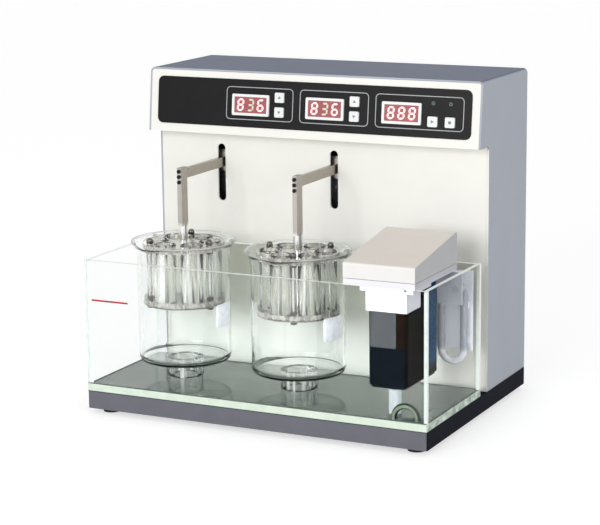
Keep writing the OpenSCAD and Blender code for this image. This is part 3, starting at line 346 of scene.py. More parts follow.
def cover_moulding():
    """Black intake cover with its white foot pipe."""
    f = Finish("cover_moulding", specular_ior_level=0.1)
    pipe = f.shades((146, 154, 158), (204, 211, 214), 3, 2, (1, 1, 0.15))
    cover = f.shades((6, 10, 16), (12, 16, 24), 9)
    f.set("Base Color", f.mix(f.at("Z").rise(PIPE_TOP, PIPE_TOP + 0.6), pipe, cover))
    f.set("Roughness", f.noise(4) * 0.1 + 0.2)
    return f.bump(f.noise(2), 0.03, 0.4)


def base_coat():
    """Dark enamel of the base, with a painted reflection of the lamps that makes its front grey."""
    f = Finish("base_coat", specular_ior_level=0.02)
    # painted reflection: the front is grey where the dark enamel would reflect the lamps
    front = f.shades((108, 108, 117), (119, 119, 128), 30)
    side = f.shades((12, 14, 24), (20, 23, 34), 30)
    f.set("Base Color", f.mix((-f.facing("Y")).rise(0.5, 0.9), side, front))
    f.set("Roughness", f.noise(2) * 0.15 + 0.45)
    return f.bump(f.cells(1.3), 0.05, 0.5)


def overlay_film():
    f = Finish("overlay_film", specular_ior_level=0.12)
    f.set("Base Color", f.shades((19, 18, 20), (28, 27, 29), 25))
    f.set("Roughness", f.noise(1.5) * 0.12 + 0.3)
    return f.bump(f.noise(0.5, 3), 0.012, 0.5)


def pump_case():
    """Glossy black case: brown above its seam, a smoked window at the left, navy at the back."""
    f = Finish("pump_case", specular_ior_level=0.006)
    height = f.at("Z")
    faces_front = (-f.facing("Y")).rise(0.7, 0.95)
    faces_right = f.facing("X").rise(0.5, 0.9)
    window_area = (height.within(PUMP_SEAM, PUMP_WINDOW_TOP) * faces_front
                   * f.at("X").fall(PUMP_WINDOW_X - 0.4, PUMP_WINDOW_X + 0.4))
    back_part = f.at("Y").rise(*PUMP_BACK_Y) * height.rise(*PUMP_BACK_Z) * faces_right
    lower = f.shades((4, 9, 16), (9, 15, 24), 12)
    upper = f.shades((14, 7, 3), (26, 14, 8), 10)
    colour = f.mix(height.rise(PUMP_SEAM - 0.4, PUMP_SEAM + 0.4), lower, upper)
    colour = f.mix(window_area, colour, f.shades((62, 65, 69), (92, 95, 99), 16))
    colour = f.mix(faces_right, colour, f.shades((4, 3, 2), (9, 7, 5), 14))
    f.set("Base Color", f.mix(back_part, colour, f.shades((14, 44, 68), (26, 62, 90), 20)))
    f.set("Roughness", f.noise(5) * 0.08 + 0.1)
    return f.bump(f.noise(6), 0.04, 0.4)


def post_steel():
    """Polished posts between darker nuts."""
    f = Finish("post_steel", metallic=1.0)
    lines = f.noise(0.8, 3, (1, 1, 0.3))
    height = f.at("Z")
    nuts = sum(height.within(nut, nut + NUT_H, 0.1) for nut in NUT_LOWS[:-1])
    nuts = (nuts + height.rise(NUT_LOWS[-1], NUT_LOWS[-1] + 0.2)).rise(0.2, 0.8)
    rod = f.mix(lines, srgb(212, 211, 209), srgb(234, 233, 231))
    dark = f.mix(lines, srgb(92, 88, 84), srgb(124, 120, 116))
    f.set("Base Color", f.mix(nuts, rod, dark))
    f.set("Roughness", lines * 0.14 + 0.1)
    return f.bump(lines, 0.01, 0.5)


def hanger_steel():
    """Brushed flat bar above, and the polished round rod below it."""
    f = Finish("hanger_steel", metallic=1.0)
    lines = f.noise(0.8, 3, (1, 1, 0.05))
    bar = f.mix(lines, srgb(158, 151, 145), srgb(182, 176, 170))
    rod = f.mix(lines, srgb(216, 215, 213), srgb(238, 237, 236))
    on_rod = f.at("Z").fall(HANGER_ROD_TOP, HANGER_ROD_TOP + 8)
    f.set("Base Color", f.mix(on_rod, bar, rod))
    f.set("Roughness", lines * 0.14 + 0.12 + (1.0 - on_rod) * 0.14)
    return f.bump(lines, 0.01, 0.5)


def heater_steel():
    """Dull steel of the heater tube, brighter on its bend, and of the shield behind it."""
    f = Finish("heater_steel", specular_ior_level=0.2)
    lines = f.noise(1.2, 3, (1, 1, 0.1))
    leg = f.mix(lines, srgb(128, 131, 140), srgb(144, 147, 155))
    bend = f.mix(lines, srgb(180, 181, 188), srgb(198, 199, 205))
    shield = f.mix(lines, srgb(204, 208, 216), srgb(220, 223, 230))
    tube = f.mix(f.at("Z").rise(BEND_TOP, BEND_TOP + 8), bend, leg)
    f.set("Base Color", f.mix(f.at("Y").rise(SHIELD_FRONT_Y, SHIELD_FRONT_Y + 1), tube, shield))
    f.set("Roughness", lines * 0.15 + 0.38)
    return f.bump(lines, 0.012, 0.5)


def bent_pipe():
    """Grey-green pipe, with painted shade along its edges, where its wall turns away from the
    front.
    """
    f = Finish("bent_pipe", specular_ior_level=0.4)
    middle = f.shades((84, 98, 84), (122, 136, 116), 5)
    # painted shade for the pipe's dark edges
    wall = f.shades((14, 30, 18), (28, 48, 32), 5)
    f.set("Base Color", f.mix(abs(f.facing("Y")).rise(0.8, 0.98), wall, middle))
    f.set("Roughness", f.noise(4) * 0.1 + 0.15)
    return f.bump(f.noise(3), 0.03, 0.4)


def moulded(name, colour, size, roughness, drift=4):
    """A moulded plastic with a fine spark-eroded texture."""
    dark = [max(0, c - drift) for c in colour]
    light = [min(255, c + drift) for c in colour]
    f = Finish(name, specular_ior_level=0.35)
    f.set("Base Color", f.shades(dark, light, 20))
    f.set("Roughness", f.noise(size * 3) * 0.1 + (roughness - 0.05))
    return f.bump(f.noise(size), 0.03, 0.45)


def metal(name, colour, grain, roughness, size=0.8, drift=10):
    """A metal with its grain drawn out by the stretch of its noise."""
    f = Finish(name, metallic=1.0)
    lines = f.noise(size, 3, grain)
    dark, light = ([c + way * drift for c in colour] for way in (-1, 1))
    f.set("Base Color", f.mix(lines, srgb(*dark), srgb(*light)))
    f.set("Roughness", lines * 0.16 + (roughness - 0.08))
    return f.bump(lines, 0.01, 0.5)


def clear(name, tint, ior):
    """Clear sheet or glass with a few faint smears."""
    f = Finish(name, base_color=tint, ior=ior, transmission_weight=1.0)
    f.set("Roughness", f.noise(25).rise(0.62, 0.85) * 0.05)
    return f.lit_through()


ACRYLIC_TINT = (0.985, 0.995, 0.99, 1)
BEAKER_TINT = (0.985, 0.995, 0.995, 1)


def acrylic_pane(name, axis, upper_painted_shade=ACRYLIC_TINT, ior=1.11):
    """Clear sheet across an axis, whose sawn edges and glued joints are pale with a faint painted
    glow, and which can turn to a darker tint higher up, as painted shade.
    """
    f = clear(name, ACRYLIC_TINT, ior)
    # painted shade: a darker tint higher up the sheet, when one is given
    f.set("Base Color", f.mix(f.at("Z").rise(*PANE_SHADE_Z), ACRYLIC_TINT, upper_painted_shade))
    edges = (1.0 - abs(f.facing(axis))).rise(0.3, 0.6)
    # the pale edges glow a little: painted light
    return f.pale_over(edges, f.shades((224, 231, 227), (251, 253, 252), 7), glow=0.1)


def drilled_plate():
    """Clear basket plate, pale on its turned rim and bored holes, dark along its lower edge."""
    f = clear("basket_acrylic", (0.96, 0.955, 0.94, 1), 1.27)
    turned = (1.0 - abs(f.facing("Z"))).rise(0.3, 0.6)
    lower_edge = f.at("Z").fall(TUBE_LOW + 0.7, TUBE_LOW + 1.1)
    marks = f.noise(4, 2, (1, 1, 0.4)).rise(0.35, 0.7)
    share = turned * (marks * 0.45 + 0.15 + lower_edge * 0.45)
    rim = f.shades((150, 145, 133), (244, 241, 235), 5)
    return f.pale_over(share, f.mix(lower_edge, rim, srgb(84, 77, 68)), 0.25)


def streaked(name, tint, ior, size, share):
    """Clear tube whose drawn wall catches light in upright streaks."""
    f = clear(name, tint, ior)
    streaks = f.noise(size, 2, (1, 1, 0.03)).rise(0.52, 0.68) * share
    return f.pale_over(streaks, f.shades((236, 236, 232), (253, 253, 251), 9), 0.15)


def floor_plate():
    """Thick glass plate: grey-green on top, pale and uneven along its sawn edges."""
    f = Finish("floor_plate", specular_ior_level=0.5)
    top = f.shades((72, 86, 79), (88, 102, 94), 70)
    front = f.shades((206, 222, 204), (238, 250, 236), 12)
    side = f.mix(f.noise(11).rise(0.32, 0.7), srgb(130, 158, 136), srgb(216, 229, 216))
    edge = f.mix((-f.facing("Y")).rise(0.5, 0.9), side, front)
    edge = f.mix(f.at("Z").rise(FLOOR_LOW + 0.4, FLOOR_LOW + 1.2), srgb(44, 66, 50), edge)
    f.set("Base Color", f.mix(f.facing("Z").rise(0.5, 0.9), edge, top))
    f.set("Roughness", f.noise(30) * 0.05 + 0.02)
    return f


def beaker_wall_glass():
    """Clear glass that gathers to dark green at the heel, with a painted highlight along the lip.
    """
    f = clear("beaker_glass", BEAKER_TINT, 1.45)
    height = f.at("Z")
    heel = (height.fall(BEAKER_Z + 1.2, BEAKER_Z + 3.2)
            * (1.0 - abs(f.facing("Z")).rise(0.8, 0.97)))
    f.set("Base Color", f.mix(heel, BEAKER_TINT, srgb(40, 56, 50)))
    # painted highlight along the lip
    lip_highlight = height.rise(BEAKER_Z + BEAKER_H - 2.2, BEAKER_Z + BEAKER_H - 0.8) * 0.6
    return f.pale_over(lip_highlight, f.shades((214, 220, 218), (250, 252, 251), 14), 0.2)


def lamp_reflection_paint():
    """A painted reflection of a lamp on the glass: pale, slightly see-through, with a faint glow.
    """
    f = Finish("lamp_reflection_paint", roughness=0.5, emission_strength=0.3)
    f.set("Base Color", f.shades((232, 235, 245), (244, 246, 252), 6))
    f.set("Emission Color", f.shades((232, 235, 246), (244, 246, 254), 6))
    f.set("Alpha", f.noise(5, 3) * 0.3 + 0.35)
    return f.bump(f.noise(0.7), 0.02, 0.4)


def display_window():
    """Red filter with the glow of the digits behind it."""
    f = Finish("display_window", roughness=0.25, specular_ior_level=0.25, emission_strength=0.16)
    f.set("Base Color", f.shades((142, 74, 78), (162, 96, 100), 6))
    return f.set("Emission Color", f.shades((172, 72, 78), (200, 100, 106), 7))


def level_paint():
    """Crimson line with a dark lower edge."""
    f = Finish("level_red", roughness=0.4)
    crimson = f.shades((176, 22, 42), (206, 40, 58), 8)
    upper = f.at("Z").rise(LEVEL_Z - 0.6, LEVEL_Z - 0.3)
    f.set("Base Color", f.mix(upper, srgb(70, 14, 40), crimson))
    return f.bump(f.noise(2), 0.02, 0.4)


def lit_digit(name, colour, strength):
    """The glow of a digit's segments."""
    f = Finish(name, base_color=srgb(*colour), roughness=0.4, emission_strength=strength)
    return f.set("Emission Color", f.shades([c * 0.88 for c in colour], colour, 1.5))


# finishes of the pieces made below, some of them shared with nodes
tube_glass = streaked("tube_glass", (0.965, 0.965, 0.95, 1), 1.3, 5, 0.45)
beaker_glass = beaker_wall_glass()
# painted reflection of a lamp, laid on the beakers
enamel = lamp_reflection_paint()
post_metal = post_steel()
wire_metal = metal("wire_steel", (150, 148, 144), (1, 1, 1), 0.3, 1.0)
red_digit = lit_digit("digit_red", (255, 205, 202), 0.8)
grey_digit = lit_digit("digit_grey", (196, 200, 178), 0.3)
frame_print = moulded("frame_print", (176, 178, 180), 0.8, 0.45)
mark_print = moulded("mark_print", (120, 124, 128), 0.8, 0.45)
lamp_grey = moulded("lamp_grey", (112, 112, 112), 0.5, 0.3)
level_red = level_paint()

NODE_FINISHES = (
    (base_coat(), ["base_plate"]),
    (moulded("foot_rubber", (22, 22, 23), 1.2, 0.7), ["rubber_feet"]),
    (wrap_coat(), ["cabinet_shell"]),
    (white_coat(), ["column_panel", "head_fascia"]),
    (overlay_film(), ["control_overlay"]),
    (moulded("white_plastic", (240, 242, 240), 0.8, 0.35), ["display_bezels", "pump_impeller"]),
    (display_window(), ["display_modules"]),
    (moulded("button_plastic", (232, 236, 235), 0.5, 0.35), list(BUTTONS)),
    (moulded("board_green", (24, 84, 50), 1.5, 0.45, 6), ["control_board"]),
    (moulded("cover_coat", (166, 170, 177), 0.9, 0.5), ["rear_cover"]),
    (moulded("black_plastic", (24, 24, 26), 0.8, 0.4), ["power_inlet"]),
    (moulded("rocker_red", (168, 26, 20), 0.8, 0.3), ["power_rocker"]),
    (moulded("motor_enamel", (66, 70, 78), 1.4, 0.45), ["left_gear_motor", "right_gear_motor"]),
    (metal("zinc_sheet", (178, 182, 186), (1, 1, 1), 0.4, 6),
     ["power_supply", "chassis_plate", "case_screws"]),
    (metal("milled_aluminium", (196, 198, 202), (0.2, 1, 1), 0.34, 1.2),
     ["guide_blocks", "left_slider", "right_slider", "left_crank", "right_crank"]),
    (metal("ground_steel", (196, 198, 200), (1, 1, 0.2), 0.22),
     ["guide_rods", "temperature_probe"]),
    (metal("brushed_stainless", (164, 157, 147), (1, 0.05, 1), 0.3), ["left_arm", "right_arm"]),
    (metal("black_oxide", (38, 37, 38), (1, 1, 1), 0.38, 1.2, 5),
     ["left_hanger_screws", "right_hanger_screws"]),
    (hanger_steel(), ["left_hanger", "right_hanger"]),
    (post_metal, ["left_basket_posts", "right_basket_posts"]),
    (wire_metal, ["left_basket_mesh", "right_basket_mesh"]),
    (tube_glass, ["left_basket_tubes", "right_basket_tubes"]),
    (drilled_plate(), ["left_basket_top", "right_basket_top", "left_basket_bottom",
                       "right_basket_bottom"]),
    (beaker_glass, ["left_beaker", "right_beaker"]),
    (streaked("riser_acrylic", (0.96, 0.975, 0.97, 1), 1.4, 9, 0.7), ["beaker_risers"]),
    (acrylic_pane("acrylic_pane_across", "Y"), ["tank_front_pane"]),
    # the back pane's darker upper tint is painted shade, for the shadow on the panel behind the
    # tank
    (acrylic_pane("acrylic_pane_back", "Y", (0.68, 0.685, 0.635, 1)), ["tank_rear_pane"]),
    (acrylic_pane("acrylic_pane_side", "X", ior=1.06), ["tank_side_panes"]),
    (floor_plate(), ["tank_floor_plate"]),
    # the lid's grey sides are painted shade
    (facing_shaded_coat("lid_cream", (236, 234, 232), (180, 182, 184), (232, 225, 217), 0.42, 0.7),
     ["heater_lid"]),
    (neck_coat(), ["heater_neck"]),
    (pump_case(), ["pump_body"]),
    (cover_moulding(), ["pump_cover"]),
    (heater_steel(), ["heater_element"]),
    (bent_pipe(), ["circulation_hose"]),
)
for finish, names in NODE_FINISHES:
    for name in names:
        slots = NODES[name].data.materials
        slots.clear()
        slots.append(finish.material)


# ---- building pieces ----

def stand(name, data):
    """Some data as an object in the scene."""
    made = bpy.data.objects.new(name, data)
    bpy.context.scene.collection.objects.link(made)
    return made


def in_metres(name, verts, faces):
    """A mesh from points in millimetres."""
    mesh = bpy.data.meshes.new(name)
    mesh.from_pydata([Vector(v) * MM for v in verts], [], faces)
    return mesh


def turn_outwards(mesh):
    """Makes all faces of a mesh point outwards."""
    work = bmesh.new()
    work.from_mesh(mesh)
    bmesh.ops.recalc_face_normals(work, faces=work.faces)
    work.to_mesh(mesh)
    work.free()


def piece(name, verts, faces, body, finish, slot, smooth=False):
    """A mesh in millimetres that rides on a body."""
    mesh = in_metres(name, verts, faces)
    mesh.validate()
    if smooth:
        mesh.polygons.foreach_set("use_smooth", [True] * len(mesh.polygons))
    mesh.materials.append(finish.material)
    turn_outwards(mesh)
    made = stand(name, mesh)
    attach(made, body)
    return made


def on_face(x, up, out):
    """A point of the head face: across, up the face, and out of it."""
    return (x, HEAD_Y + up * math.sin(LEAN) - out * math.cos(LEAN),
            HEAD_Z + up * math.cos(LEAN) + out * math.sin(LEAN))


def prism(outline, start, end, place):
    """An outline raised from start to end: vertices and faces."""
    n = len(outline)
    verts = [place(x, y, d) for d in (start, end) for x, y in outline]
    faces = [tuple(range(n - 1, -1, -1)), tuple(range(n, 2 * n))]
    faces += [(i, (i + 1) % n, n + (i + 1) % n, n + i) for i in range(n)]
    return verts, faces


def ring(outer, inner, start, end, place):
    """A closed strip between two outlines of as many points."""
    n = len(outer)
    verts = [place(x, y, d) for line in (outer, inner) for d in (start, end) for x, y in line]
    faces = []
    for i in range(n):
        j = (i + 1) % n
        faces += [(i, j, n + j, n + i), (2 * n + j, 2 * n + i, 3 * n + i, 3 * n + j),
                  (n + i, n + j, 3 * n + j, 3 * n + i), (j, i, 2 * n + i, 2 * n + j)]
    return verts, faces


def joined(parts):
    """Several (vertices, faces) as one."""
    verts, faces = [], []
    for some_verts, some_faces in parts:
        start = len(verts)
        verts += some_verts
        faces += [tuple(start + i for i in f) for f in some_faces]
    return verts, faces


def rounded(width, height, radius, middle, steps=6):
    """A rounded rectangle's outline."""
    points = []
    for turn, (sx, sy) in enumerate(((1, 1), (-1, 1), (-1, -1), (1, -1))):
        cx = middle[0] + sx * (width / 2 - radius)
        cy = middle[1] + sy * (height / 2 - radius)
        for k in range(steps + 1):
            a = math.radians(90 * turn + 90 * k / steps)
            points.append((cx + radius * math.cos(a), cy + radius * math.sin(a)))
    return points


def circle(radius, middle, steps=32):
    return [(middle[0] + radius * math.cos(2 * math.pi * k / steps),
             middle[1] + radius * math.sin(2 * math.pi * k / steps)) for k in range(steps)]


# ---- repeated shapes, by Geometry Nodes ----

class Tree:
    """A Geometry Nodes tree with named inputs for its sizes."""

    def __init__(self, name, floats=(), counts=(), objects=()):
        self.tree = bpy.data.node_groups.new(name, "GeometryNodeTree")
        face = self.tree.interface
        face.new_socket("Geometry", in_out="INPUT", socket_type="NodeSocketGeometry")
        self.keys = {}
        for kind, labels in (("Object", objects), ("Int", counts), ("Float", floats)):
            for label in labels:
                made = face.new_socket(label, in_out="INPUT", socket_type="NodeSocket" + kind)
                self.keys[label] = made.identifier
        face.new_socket("Geometry", in_out="OUTPUT", socket_type="NodeSocketGeometry")
        self.given = self.tree.nodes.new("NodeGroupInput").outputs
        self.result = self.tree.nodes.new("NodeGroupOutput").inputs["Geometry"]

    def add(self, kind, settings=(), sockets=(), out=0):
        """Any node: its type, its settings, its sockets' values or links, and the output wanted."""
        made = self.tree.nodes.new(kind)
        for key, value in dict(settings).items():
            setattr(made, key, value)
        for key, value in dict(sockets).items():
            if isinstance(value, bpy.types.NodeSocket):
                self.tree.links.new(value, made.inputs[key])
            else:
                made.inputs[key].default_value = value
        return made.outputs[out]

    def calc(self, operation, a, b=0.0):
        return self.add("ShaderNodeMath", {"operation": operation}, {0: a, 1: b})

    def vector(self, **parts):
        """A vector from numbers or sockets given as x, y and z."""
        sockets = {"xyz".index(axis): value for axis, value in parts.items()}
        return self.add("ShaderNodeCombineXYZ", {}, sockets)

    def part(self, axis):
        """The place of each point along an axis."""
        here = self.add("GeometryNodeInputPosition")
        return self.add("ShaderNodeSeparateXYZ", {}, {0: here}, out=axis)

    def join(self, *shapes):
        both = self.add("GeometryNodeJoinGeometry")
        for shape in shapes:
            self.tree.links.new(shape, both.node.inputs[0])
        return both

    def end(self, shape, finish):
        """Ends the tree: real geometry, one material."""
        real = self.add("GeometryNodeRealizeInstances", {}, {0: shape})
        done = self.add("GeometryNodeSetMaterial", {}, {
            "Geometry": real, "Material": finish.material})
        self.tree.links.new(done, self.result)
        return self

    def make(self, name, values, body, slot, replaced):
        """Runs the tree, and gives its result as a piece that stands for a node."""
        holder = stand(name + "_start", bpy.data.meshes.new(name + "_start"))
        modifier = holder.modifiers.new("shape", "NODES")
        modifier.node_group = self.tree
        for label, value in values.items():
            modifier[self.keys[label]] = value
        graph = bpy.context.evaluated_depsgraph_get()
        mesh = bpy.data.meshes.new_from_object(holder.evaluated_get(graph))
        holder.modifiers.remove(modifier)
        bpy.data.objects.remove(holder)
        mesh.name = name
        turn_outwards(mesh)
        made = stand(name, mesh)
        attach(made, body)
        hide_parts(replaced)


CIRCLE_SIZES = ("Ring", "Turn", "X", "Y")


def around(tree, item):
    """Stands an item at Count places round a circle of Ring, turned by Turn, over X and Y."""
    places = tree.add("GeometryNodeMeshCircle", {}, {
        "Vertices": tree.given["Count"], "Radius": tree.given["Ring"]})
    stood = tree.add("GeometryNodeInstanceOnPoints", {}, {"Points": places, "Instance": item})
    return tree.add("GeometryNodeTransform", {}, {
        "Geometry": stood, "Translation": tree.vector(x=tree.given["X"], y=tree.given["Y"]),
        "Rotation": tree.vector(z=tree.given["Turn"])})


def tube_tree(finish):
    """Open glass tubes with rounded ends, round a circle."""
    tree = Tree("standing_tubes", CIRCLE_SIZES + ("Radius", "Wall", "Low", "Height"), ("Count",))
    given = tree.given
    half_wall = tree.calc("MULTIPLY", given["Wall"], 0.5)
    path = tree.add("GeometryNodeCurvePrimitiveCircle", {}, {
        "Resolution": TUBE_STEPS, "Radius": tree.calc("SUBTRACT", given["Radius"], half_wall)})
    section = tree.add("GeometryNodeCurvePrimitiveQuadrilateral", {}, {
        "Width": given["Wall"], "Height": given["Height"]})
    section = tree.add("GeometryNodeFilletCurve", {}, {
        "Curve": section, "Radius": tree.calc("MULTIPLY", given["Wall"], 0.45)})
    wall = tree.add("GeometryNodeCurveToMesh", {}, {"Curve": path, "Profile Curve": section})
    middle = tree.calc("ADD", given["Low"], tree.calc("MULTIPLY", given["Height"], 0.5))
    wall = tree.add("GeometryNodeTransform", {}, {
        "Geometry": wall, "Translation": tree.vector(z=middle)})
    return tree.end(around(tree, wall), finish)


def item_tree(finish):
    """Copies of a ready-made item, round a circle."""
    tree = Tree("standing_items", CIRCLE_SIZES, ("Count",), ("Item",))
    item = tree.add("GeometryNodeObjectInfo", {}, {"Object": tree.given["Item"]}, out="Geometry")
    return tree.end(around(tree, item), finish)


def wire_tree(finish):
    """Two sets of wires woven over and under each other, cut round, in a flat rim."""
    tree = Tree("woven_wire", ("Radius", "Rim", "Pitch", "Wire", "Turn", "X", "Y", "Z"),
                ("Count",))
    given, calc = tree.given, tree.calc
    reach = calc("SUBTRACT", given["Radius"], calc("MULTIPLY", given["Rim"], 0.5))

    gaps = calc("SUBTRACT", given["Count"], 1.0)
    first = calc("MULTIPLY", calc("MULTIPLY", gaps, given["Pitch"]), -0.5)
    rows = tree.add("GeometryNodeMeshLine", {}, {
        "Count": given["Count"], "Start Location": tree.vector(y=first),
        "Offset": tree.vector(y=given["Pitch"])})
    row_y = tree.part(Y)
    squares = calc("SUBTRACT", calc("MULTIPLY", reach, reach), calc("MULTIPLY", row_y, row_y))
    half_chord = calc("SQRT", calc("MAXIMUM", squares, 0.0))
    straight = tree.add("GeometryNodeCurvePrimitiveLine", {}, {
        "Start": (-1, 0, 0), "End": (1, 0, 0)})
    straight = tree.add("GeometryNodeResampleCurve", {}, {
        "Curve": straight, "Count": WIRE_STEPS})
    along = tree.add("GeometryNodeInstanceOnPoints", {}, {
        "Points": rows, "Instance": straight,
        "Scale": tree.vector(x=half_chord, y=1.0, z=1.0)})
    along = tree.add("GeometryNodeRealizeInstances", {}, {0: along})
    across = tree.add("GeometryNodeTransform", {}, {
        "Geometry": along, "Rotation": (0, 0, math.pi / 2)})

    beat = calc("DIVIDE", math.pi, given["Pitch"])
    waves = [calc("COSINE", calc("MULTIPLY", tree.part(axis), beat)) for axis in (X, Y)]
    lift = calc("MULTIPLY", calc("MULTIPLY", waves[0], waves[1]), given["Wire"])
    woven = [tree.add("GeometryNodeSetPosition", {}, {
        "Geometry": wires, "Offset": tree.vector(z=calc("MULTIPLY", lift, way))})
        for wires, way in ((along, 1.0), (across, -1.0))]
    round_wire = tree.add("GeometryNodeCurvePrimitiveCircle", {}, {
        "Resolution": WIRE_SIDES, "Radius": given["Wire"]})
    cloth = tree.add("GeometryNodeCurveToMesh", {}, {
        "Curve": tree.join(*woven), "Profile Curve": round_wire, "Fill Caps": True})

    rim_path = tree.add("GeometryNodeCurvePrimitiveCircle", {}, {
        "Resolution": RIM_STEPS, "Radius": reach})
    strip = tree.add("GeometryNodeCurvePrimitiveQuadrilateral", {}, {
        "Width": given["Rim"], "Height": calc("MULTIPLY", given["Wire"], 4.0)})
    rim = tree.add("GeometryNodeCurveToMesh", {}, {"Curve": rim_path, "Profile Curve": strip})
    placed = tree.add("GeometryNodeTransform", {}, {
        "Geometry": tree.join(cloth, rim),
        "Translation": tree.vector(x=given["X"], y=given["Y"], z=given["Z"]),
        "Rotation": tree.vector(z=given["Turn"])})
    return tree.end(placed, finish)


# ---- control panel ----

def group_outline(x, width):
    """The printed line round one group of display and buttons."""
    outer = rounded(width, GROUP_H, GROUP_CORNER, (x, FACE_MID))
    inner = rounded(width - 2 * GROUP_LINE, GROUP_H - 2 * GROUP_LINE,
                    GROUP_CORNER - GROUP_LINE, (x, FACE_MID))
    return ring(outer, inner, OVERLAY_T - 0.1, OVERLAY_T + 0.12, on_face)


outlines = [group_outline(x, width) for x, width in zip(GROUP_X, GROUP_W)]
piece("panel_outlines", *joined(outlines), "cabinet", frame_print, "overlay_black")

# the seven segments' ends, in halves of a digit's width and height
SEGMENTS = {
    "a": ((0, 2), (1, 2)), "b": ((1, 2), (1, 1)), "c": ((1, 1), (1, 0)), "d": ((0, 0), (1, 0)),
    "e": ((0, 1), (0, 0)), "f": ((0, 2), (0, 1)), "g": ((0, 1), (1, 1)),
}
LIT = {"8": "abcdefg", "3": "abcdg", "6": "acdefg"}


def segment(start, end, x, up):
    """A six-sided bar with pointed ends, leaning with its digit."""
    length = math.dist(start, end)
    along_x, along_y = (end[0] - start[0]) / length, (end[1] - start[1]) / length
    shoulder = SEGMENT_SHOULDER + SEGMENT / 2
    outline = []
    for along, side in ((SEGMENT_GAP, 0), (shoulder, 1), (length - shoulder, 1),
                        (length - SEGMENT_GAP, 0), (length - shoulder, -1), (shoulder, -1)):
        px = start[0] + along_x * along - along_y * side * SEGMENT / 2
        py = start[1] + along_y * along + along_x * side * SEGMENT / 2
        outline.append((x + px + DIGIT_SLANT * py, up + py))
    return prism(outline, DISPLAY_OUT - 0.1, DISPLAY_OUT + 0.15, on_face)


def digit(character, x, up):
    """The lit segments of one digit, its middle at x, up."""
    width, half_height = DIGIT_W - SEGMENT, (DIGIT_H - SEGMENT) / 2
    bars = []
    for name in LIT[character]:
        start, end = [((px - 0.5) * width, (py - 1) * half_height) for px, py in SEGMENTS[name]]
        bars.append(segment(start, end, x, up))
    return bars


red_bars, grey_bars = [], []
for x, text, unlit in zip(DISPLAY_X, ("836", "836", "888"), (1, 1, None)):
    for k, character in enumerate(text):
        bars = grey_bars if k == unlit else red_bars
        bars += digit(character, x + (k - 1) * DIGIT_PITCH, DISPLAY_UP)
piece("display_digits_red", *joined(red_bars), "cabinet", red_digit, "display_dark")
piece("display_digits_grey", *joined(grey_bars), "cabinet", grey_digit, "display_dark")

# the print on the buttons: triangles, and a square to stop
MARKS = {
    "up": [(-2.0, -1.2), (2.0, -1.2), (0, 1.8)],
    "down": [(-2.0, 1.2), (0, -1.8), (2.0, 1.2)],
    "start": [(-1.4, -1.9), (2.0, 0), (-1.4, 1.9)],
    "stop": [(-1.6, -1.6), (1.6, -1.6), (1.6, 1.6), (-1.6, 1.6)],
}
for name, (x, up) in BUTTONS.items():
    shape = MARKS[name.split("_")[-2]]
    mark = prism([(x + px, up + py) for px, py in shape], BUTTON_OUT - 0.05, BUTTON_OUT + 0.1,
                 on_face)
    piece(name.replace("button", "mark"), *mark, name, mark_print, "button_white")

lenses = [prism(circle(LAMP_R, place), OVERLAY_T - 0.05, OVERLAY_T + 0.5, on_face)
          for place in LAMPS]
piece("indicator_lamps", *joined(lenses), "cabinet", lamp_grey, "display_dark")


# ---- beakers ----

def beaker_section():
    """The wall's (radius, height, share of the spout): up the outside and down the inside."""
    r, h, w, f, b = BEAKER_R, BEAKER_H, BEAKER_WALL, LIP_FLARE, BEAKER_FLOOR
    heel = [(r - 7, 0, 0), (r - 4.3, 0.4, 0), (r - 2.2, 1.4, 0), (r - 0.7, 3.4, 0), (r, 6, 0)]
    outside = [(r, 40, 0), (r, 80, 0), (r, h - 20, 0), (r + 0.04 * f, h - 16, 0.02),
               (r + 0.14 * f, h - 12, 0.1), (r + 0.3 * f, h - 8, 0.28),
               (r + 0.55 * f, h - 4.6, 0.55), (r + 0.85 * f, h - 2.4, 0.85)]
    lip = [(r + f, h - 1.5, 1), (r + f, h - 0.8, 1), (r + f - 0.6, h - 0.2, 1),
           (r + f - 1.3, h - 0.2, 1), (r + f - 2.2, h - 0.9, 0.95)]
    inside = [(r + 0.55 * f - w, h - 3.6, 0.55), (r + 0.3 * f - w, h - 6.8, 0.28),
              (r + 0.14 * f - w, h - 11.4, 0.1), (r + 0.04 * f - w, h - 16, 0.02),
              (r - w, h - 20, 0), (r - w, 80, 0), (r - w, 40, 0), (r - w, b + 6, 0)]
    floor_round = [(r - w - 0.6, b + 3.4, 0), (r - w - 2, b + 1.6, 0), (r - w - 4.2, b + 0.5, 0),
                   (r - w - 7, b, 0)]
    return heel + outside + lip + inside + floor_round


def beaker_wall(side, steps=144):
    """A spun beaker with its lip drawn out to a spout."""
    section = beaker_section()
    verts = []
    for radius, z, share in section:
        for k in range(steps):
            a = 360 * k / steps
            away = (a - SPOUT_TURN[side] + 540) % 360 - 180
            spout = share * math.exp(-(away / SPOUT_WIDTH) ** 2)
            reach = radius + SPOUT_OUT * spout
            verts.append((DRIVE_X[side] + reach * math.cos(math.radians(a)),
                          BASKET_Y + reach * math.sin(math.radians(a)),
                          BEAKER_Z + z - SPOUT_DROP * spout))
    faces = [(i * steps + k, i * steps + (k + 1) % steps,
              (i + 1) * steps + (k + 1) % steps, (i + 1) * steps + k)
             for i in range(len(section) - 1) for k in range(steps)]
    under, inside = len(verts), len(verts) + 1
    verts += [(DRIVE_X[side], BASKET_Y, BEAKER_Z),
              (DRIVE_X[side], BASKET_Y, BEAKER_Z + BEAKER_FLOOR)]
    last = (len(section) - 1) * steps
    faces += [(k, under, (k + 1) % steps) for k in range(steps)]
    faces += [(last + k, last + (k + 1) % steps, inside) for k in range(steps)]
    return verts, faces


